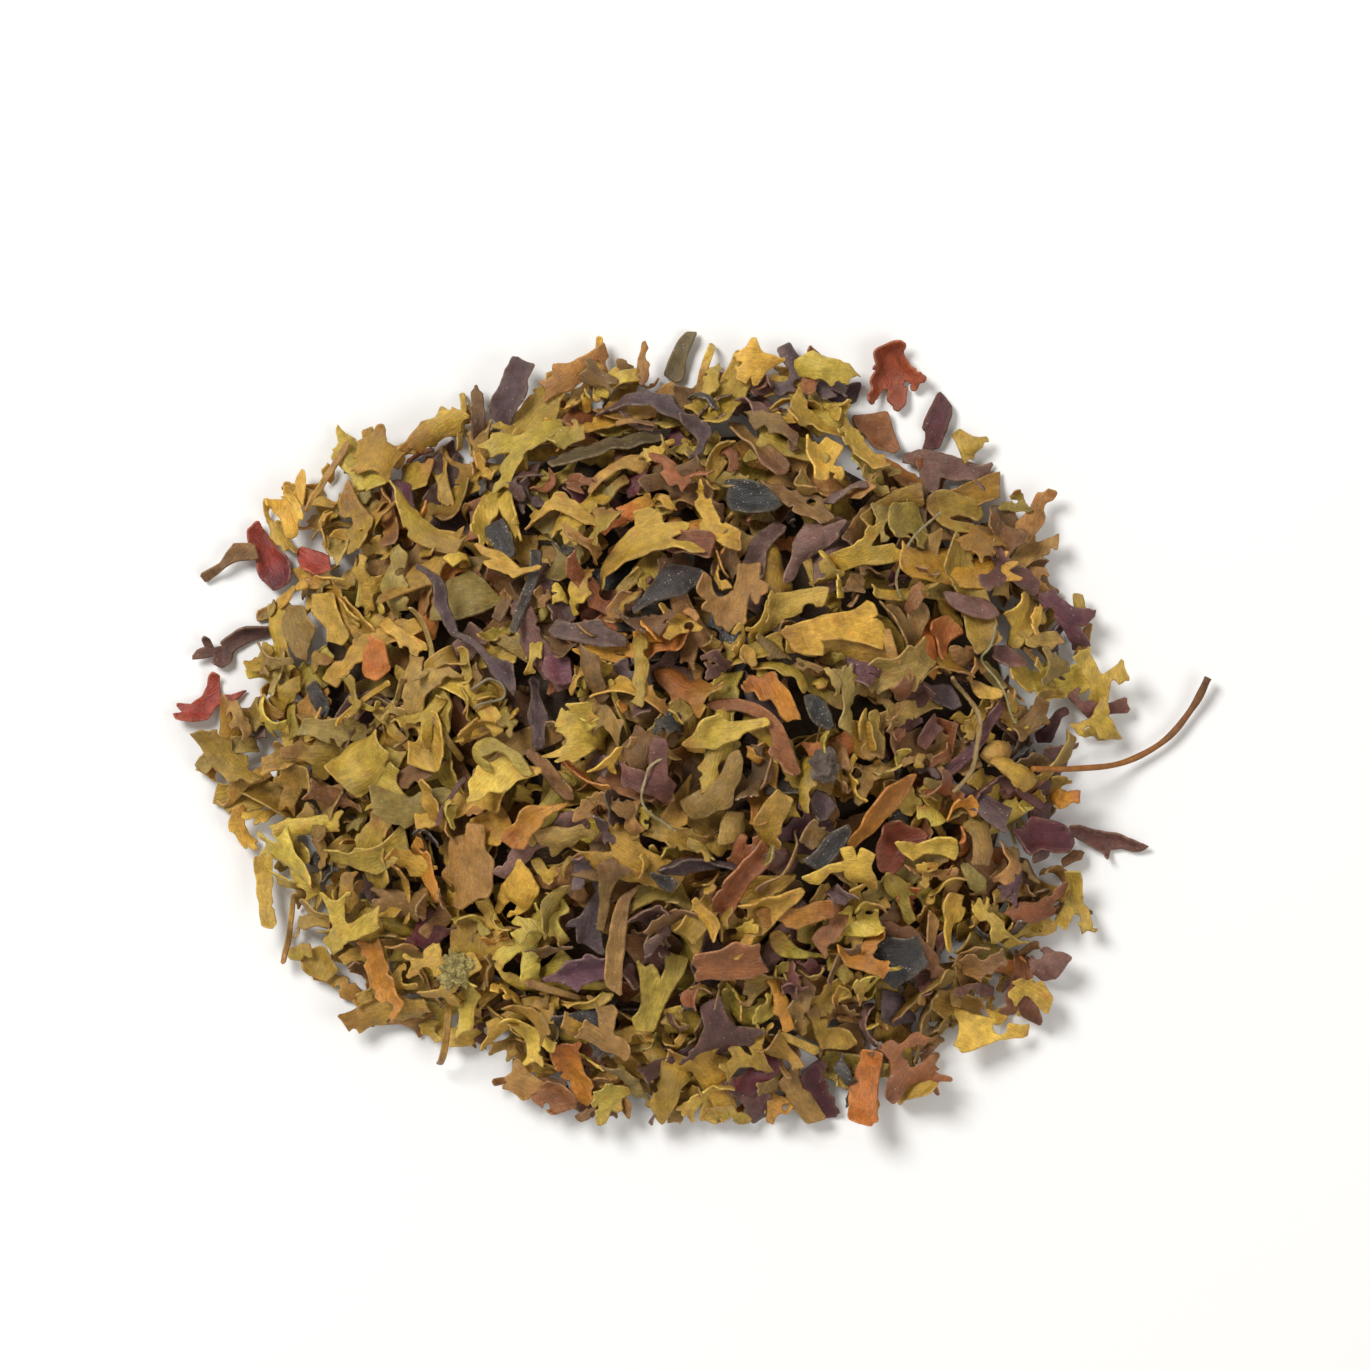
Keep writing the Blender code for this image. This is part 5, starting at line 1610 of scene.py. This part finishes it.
def tube(route, radii, sides=8):
    """A closed round tube along the route: points, triangles and flat places."""
    route, radii = np.array(route, float), np.broadcast_to(radii, len(route))
    ahead = np.gradient(route, axis=0)
    ahead /= np.linalg.norm(ahead, axis=1, keepdims=True)
    side = np.cross(ahead[0], (0.31, 0.22, 0.93))
    points, flat = [], []
    run = np.concatenate([[0], np.cumsum(np.linalg.norm(np.diff(route, axis=0), axis=1))])
    for place, direction, radius, far in zip(route, ahead, radii, run):
        side = side - direction * (side @ direction)
        side /= np.linalg.norm(side)
        up = np.cross(direction, side)
        for i in range(sides):
            angle = 2 * math.pi * i / sides
            points.append(place + radius * (math.cos(angle) * side + math.sin(angle) * up))
            flat.append((far, radius * 2 * math.sin(angle)))
    triangles = []
    for k in range(len(route) - 1):
        for i in range(sides):
            a, b = k * sides + i, k * sides + (i + 1) % sides
            triangles += [(a, b, b + sides), (a, b + sides, a + sides)]
    for start, turn in ((0, -1), ((len(route) - 1) * sides, 1)):
        for i in range(1, sides - 1):
            triangles.append((start, start + i, start + i + 1)[::turn])
    return np.array(points), np.array(triangles), np.array(flat)


def smooth_route(points, steps):
    """A smooth line through the points, with some steps from each to the next."""
    route = np.array([points[0], *points, points[-1]], float)
    out = []
    for a, b, c, d in zip(route, route[1:], route[2:], route[3:]):
        for t in np.arange(steps) / steps:
            bend = (2 * a - 5 * b + 4 * c - d) * t**2 + (3 * b - a - 3 * c + d) * t**3
            out.append(0.5 * (2 * b + (c - a) * t + bend))
    return np.array([*out, route[-1]])


# The thin threads that lie on the heap: their points in plan, their radius and colour.
THREADS = {
    "pale_thread": (
        ((19.9, 15.6), (18.6, 14.2), (17.4, 12.8), (17.0, 11.2), (17.3, 9.6)),
        0.11, (0.20, 0.17, 0.085),
    ),
    "pale_strip": (
        ((20.8, 4.0), (21.8, 3.0), (22.6, 1.3), (22.8, -0.4), (22.2, -2.3), (20.9, -4.0)),
        0.2, (0.27, 0.18, 0.07),
    ),
    "knotted_thread": (
        ((24.0, 7.7), (23.4, 6.2), (23.1, 5.3), (23.9, 3.9), (24.9, 2.1), (25.4, 0.8)),
        0.1, (0.21, 0.19, 0.08),
    ),
    "ring_thread": (
        ((0.6, -1.6), (-0.5, -2.4), (-0.9, -3.8), (-0.4, -5.2), (0.7, -6.2), (1.6, -6.6)),
        0.1, (0.26, 0.21, 0.10),
    ),
    "grey_curl": (
        ((-12.8, 3.2), (-11.7, 3.9), (-10.6, 3.6), (-10.7, 2.6), (-11.9, 2.2), (-12.6, 1.8)),
        0.11, (0.13, 0.105, 0.06),
    ),
}


THREAD_WAVE = 0.15


def make_threads(heights):
    """The threads, which follow the tops of the scraps under them and wave a little."""
    for name, (plan, radius, colour) in THREADS.items():
        draw = random.Random(name)
        plan = smooth_route([(x, y, 0) for x, y in plan], 8)[:, :2]
        top = heights.top[heights.cells(plan)]
        top = np.maximum(top, np.roll(top, 1))
        for _ in range(30):
            top = np.maximum(top * 0.999, (np.roll(top, 1) + np.roll(top, -1)) / 2)
        wave = THREAD_WAVE * np.sin(0.33 * np.arange(len(plan)) + draw.uniform(0, 6))
        route = np.stack([plan[:, 0] + wave, plan[:, 1], top + radius + 0.05], 1)
        radii = radius * np.array([0.75 + 0.35 * draw.random() for _ in route])
        points, triangles, flat = tube(route, radii)
        pile = Pile()
        pile.add(points, triangles, with_own_number(flat, draw), np.full(len(points), 0.3), colour)
        pile.build(name, MATERIALS["olive"], "olive")


# The stem end: its route, its radius, how far it is raised, how far beside it the ground is kept clear and
# how strongly, its colours from the heap outwards, and its sides.
STEM_POINTS = (
    (26.5, -2.4, 5.4), (29.8, -2.4, 3.4), (33.2, -2.0, 0.9),
    (36.2, -0.4, 0.45), (38.2, 2.0, 0.5), (39.2, 4.0, 0.9),
)
STEM_RADIUS = 0.34
STEM_LIFT = 0.3
STEM_CLEARANCE = 1.2
STEM_SHOWN = 6.0
STEM_COLOURS = np.array(((0.34, 0.125, 0.014), (0.12, 0.050, 0.016)))
STEM_SIDES = 10


def keep_stem_in_sight(heights):
    """Marks the ground along the stem's bare part, so that the filling scraps leave it in sight."""
    route = smooth_route(STEM_POINTS[1:], 24)
    for step in np.linspace(-STEM_CLEARANCE, STEM_CLEARANCE, 9):
        heights.shown[heights.cells(route + (0, step, 0))] = STEM_SHOWN


def make_stem():
    """The stem end that sticks out of the heap."""
    route = smooth_route(STEM_POINTS, 8) + (0, 0, STEM_LIFT)
    far = np.linspace(0, 1, len(route))
    radii = STEM_RADIUS * (0.62 + 0.1 * np.sin(far * 31) * far + 0.25 * far**3)
    points, triangles, flat = tube(route, radii, STEM_SIDES)
    draw = random.Random("stem")
    share = np.repeat(far, STEM_SIDES)[:, None]
    colour = STEM_COLOURS[0] * (1 - share) + STEM_COLOURS[1] * share
    pile = Pile()
    pile.add(points, triangles, with_own_number(flat, draw), np.zeros(len(points)), colour)
    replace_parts(pile.build("stem_end", MATERIALS["rust"], "rust"), "brown_stem")


def make_lump(name, node, material, slot, wrinkle, depth):
    """A rough lump inside its CAD node's box."""
    low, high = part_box(node)
    middle, size = (low + high) / 2, (high - low) / 2
    shape = bmesh.new()
    bmesh.ops.create_icosphere(shape, subdivisions=5, radius=1.0)
    for vertex in shape.verts:
        far = 1 - depth + depth * noise.fractal(vertex.co * wrinkle, 0.9, 2.1, 3)
        far = min(1.0, max(0.4, far + 0.25 * noise.noise(vertex.co * 1.1 + middle / MM)))
        vertex.co = middle + Vector(c * far * s for c, s in zip(vertex.co, size))
    for face in shape.faces:
        face.smooth = True
    mesh = bpy.data.meshes.new(name)
    shape.to_mesh(mesh)
    shape.free()
    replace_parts(shown_object(name, mesh, material, slot), node)


# ---- The heap ----
# The CAD model's own height map, where the lumps lie before the single scraps settle, and the one of the
# scraps that are made here.
cad_heights = HeightMap(CELL, THICKNESS)
heights = HeightMap(FINE_CELL, SHEET)
bed = settled_bed(cad_heights)
for lump in LUMPS:
    settle_lump(lump, cad_heights)
singles = settled_singles(cad_heights)

make_core()
make_bed(bed, heights)
make_singles(singles, heights)
make_laid(heights)
make_under_fill(200)
keep_stem_in_sight(heights)
make_over_fill(
    240, heights, sizes=(3.4, 6.6), share_range=(0.0, 0.98), held=84, tilt=0.4, curly=0.7, seed=303
)
make_over_fill(
    280, heights, sizes=(1.8, 4.0), share_range=(0.0, 1.0), held=76, tilt=0.6, curly=0.9, seed=505
)
make_over_fill(
    120, heights, sizes=(2.5, 6.0), share_range=(0.75, 1.12), held=90, tilt=0.2, curly=0.5, seed=404
)
make_threads(heights)
make_stem()
lichen = crust_material("lichen", (0.46, 0.37, 0.12), (0.27, 0.21, 0.07), scale=1500)
make_lump("lichen_lump", "lichen_crumb", lichen, "lichen", wrinkle=2.0, depth=0.34)
knob = crust_material("knob", (0.088, 0.062, 0.046), (0.17, 0.13, 0.095), scale=1100)
make_lump("grey_lump", "grey_knob", knob, "grey", wrinkle=1.3, depth=0.3)
for slot, pile in piles.items():
    pile.build(f"scraps_{slot}", MATERIALS[slot], slot)

# ---- Floor, light and camera ----

# How wide the picture is at half the heap's height, the point in its middle, the height of the camera, and
# the height at which that width holds.
IMAGE_WIDTH_MM = 95.9
VIEW_CENTRE = (-0.35, 2.96)
CAMERA_HEIGHT = 520.0
HEAP_PLANE = 8.0
# The floor lies a hair under the heap. Its size and depth are in metres.
FLOOR_SIZE, FLOOR_DEPTH = 3.0, 0.0001
FLOOR_COLOUR = (0.86, 0.85, 0.83, 1)
SKY_COLOUR = (1.0, 0.98, 0.95, 1)
SKY_STRENGTH = 0.38

bpy.ops.mesh.primitive_plane_add(size=FLOOR_SIZE, location=(0, 0, -FLOOR_DEPTH))
floor = bpy.context.object
floor.name = "floor"
paper = Look("paper")
paper.fill(paper.shader, {"Base Color": FLOOR_COLOUR, "Roughness": 0.8})
floor.data.materials.append(paper.made)


def add_light(name, place, size, power):
    """A round soft light that faces the heap; its place and size are in metres, and its power in watts."""
    data = bpy.data.lights.new(name, "AREA")
    data.shape = "DISK"
    data.size = size
    data.energy = power
    light = bpy.data.objects.new(name, data)
    light.location = place
    light.rotation_euler = (-Vector(place)).to_track_quat("-Z", "Y").to_euler()
    bpy.context.scene.collection.objects.link(light)


add_light("key", place=(-0.32, 0.30, 0.55), size=0.28, power=4.4)
add_light("fill", place=(0.45, -0.2, 0.6), size=0.5, power=1.6)

bpy.context.scene.view_settings.view_transform = "Standard"
world = bpy.data.worlds.new("studio")
bpy.context.scene.world = world
world.use_nodes = True
world.node_tree.nodes["Background"].inputs["Color"].default_value = SKY_COLOUR
world.node_tree.nodes["Background"].inputs["Strength"].default_value = SKY_STRENGTH

camera_data = bpy.data.cameras.new("camera")
camera_data.sensor_fit = "HORIZONTAL"
camera_data.lens = camera_data.sensor_width * (CAMERA_HEIGHT - HEAP_PLANE) / IMAGE_WIDTH_MM
camera_data.clip_start, camera_data.clip_end = 0.01, 10
camera = bpy.data.objects.new("camera", camera_data)
camera.location = Vector((*VIEW_CENTRE, CAMERA_HEIGHT)) * MM
bpy.context.scene.collection.objects.link(camera)
bpy.context.scene.camera = camera
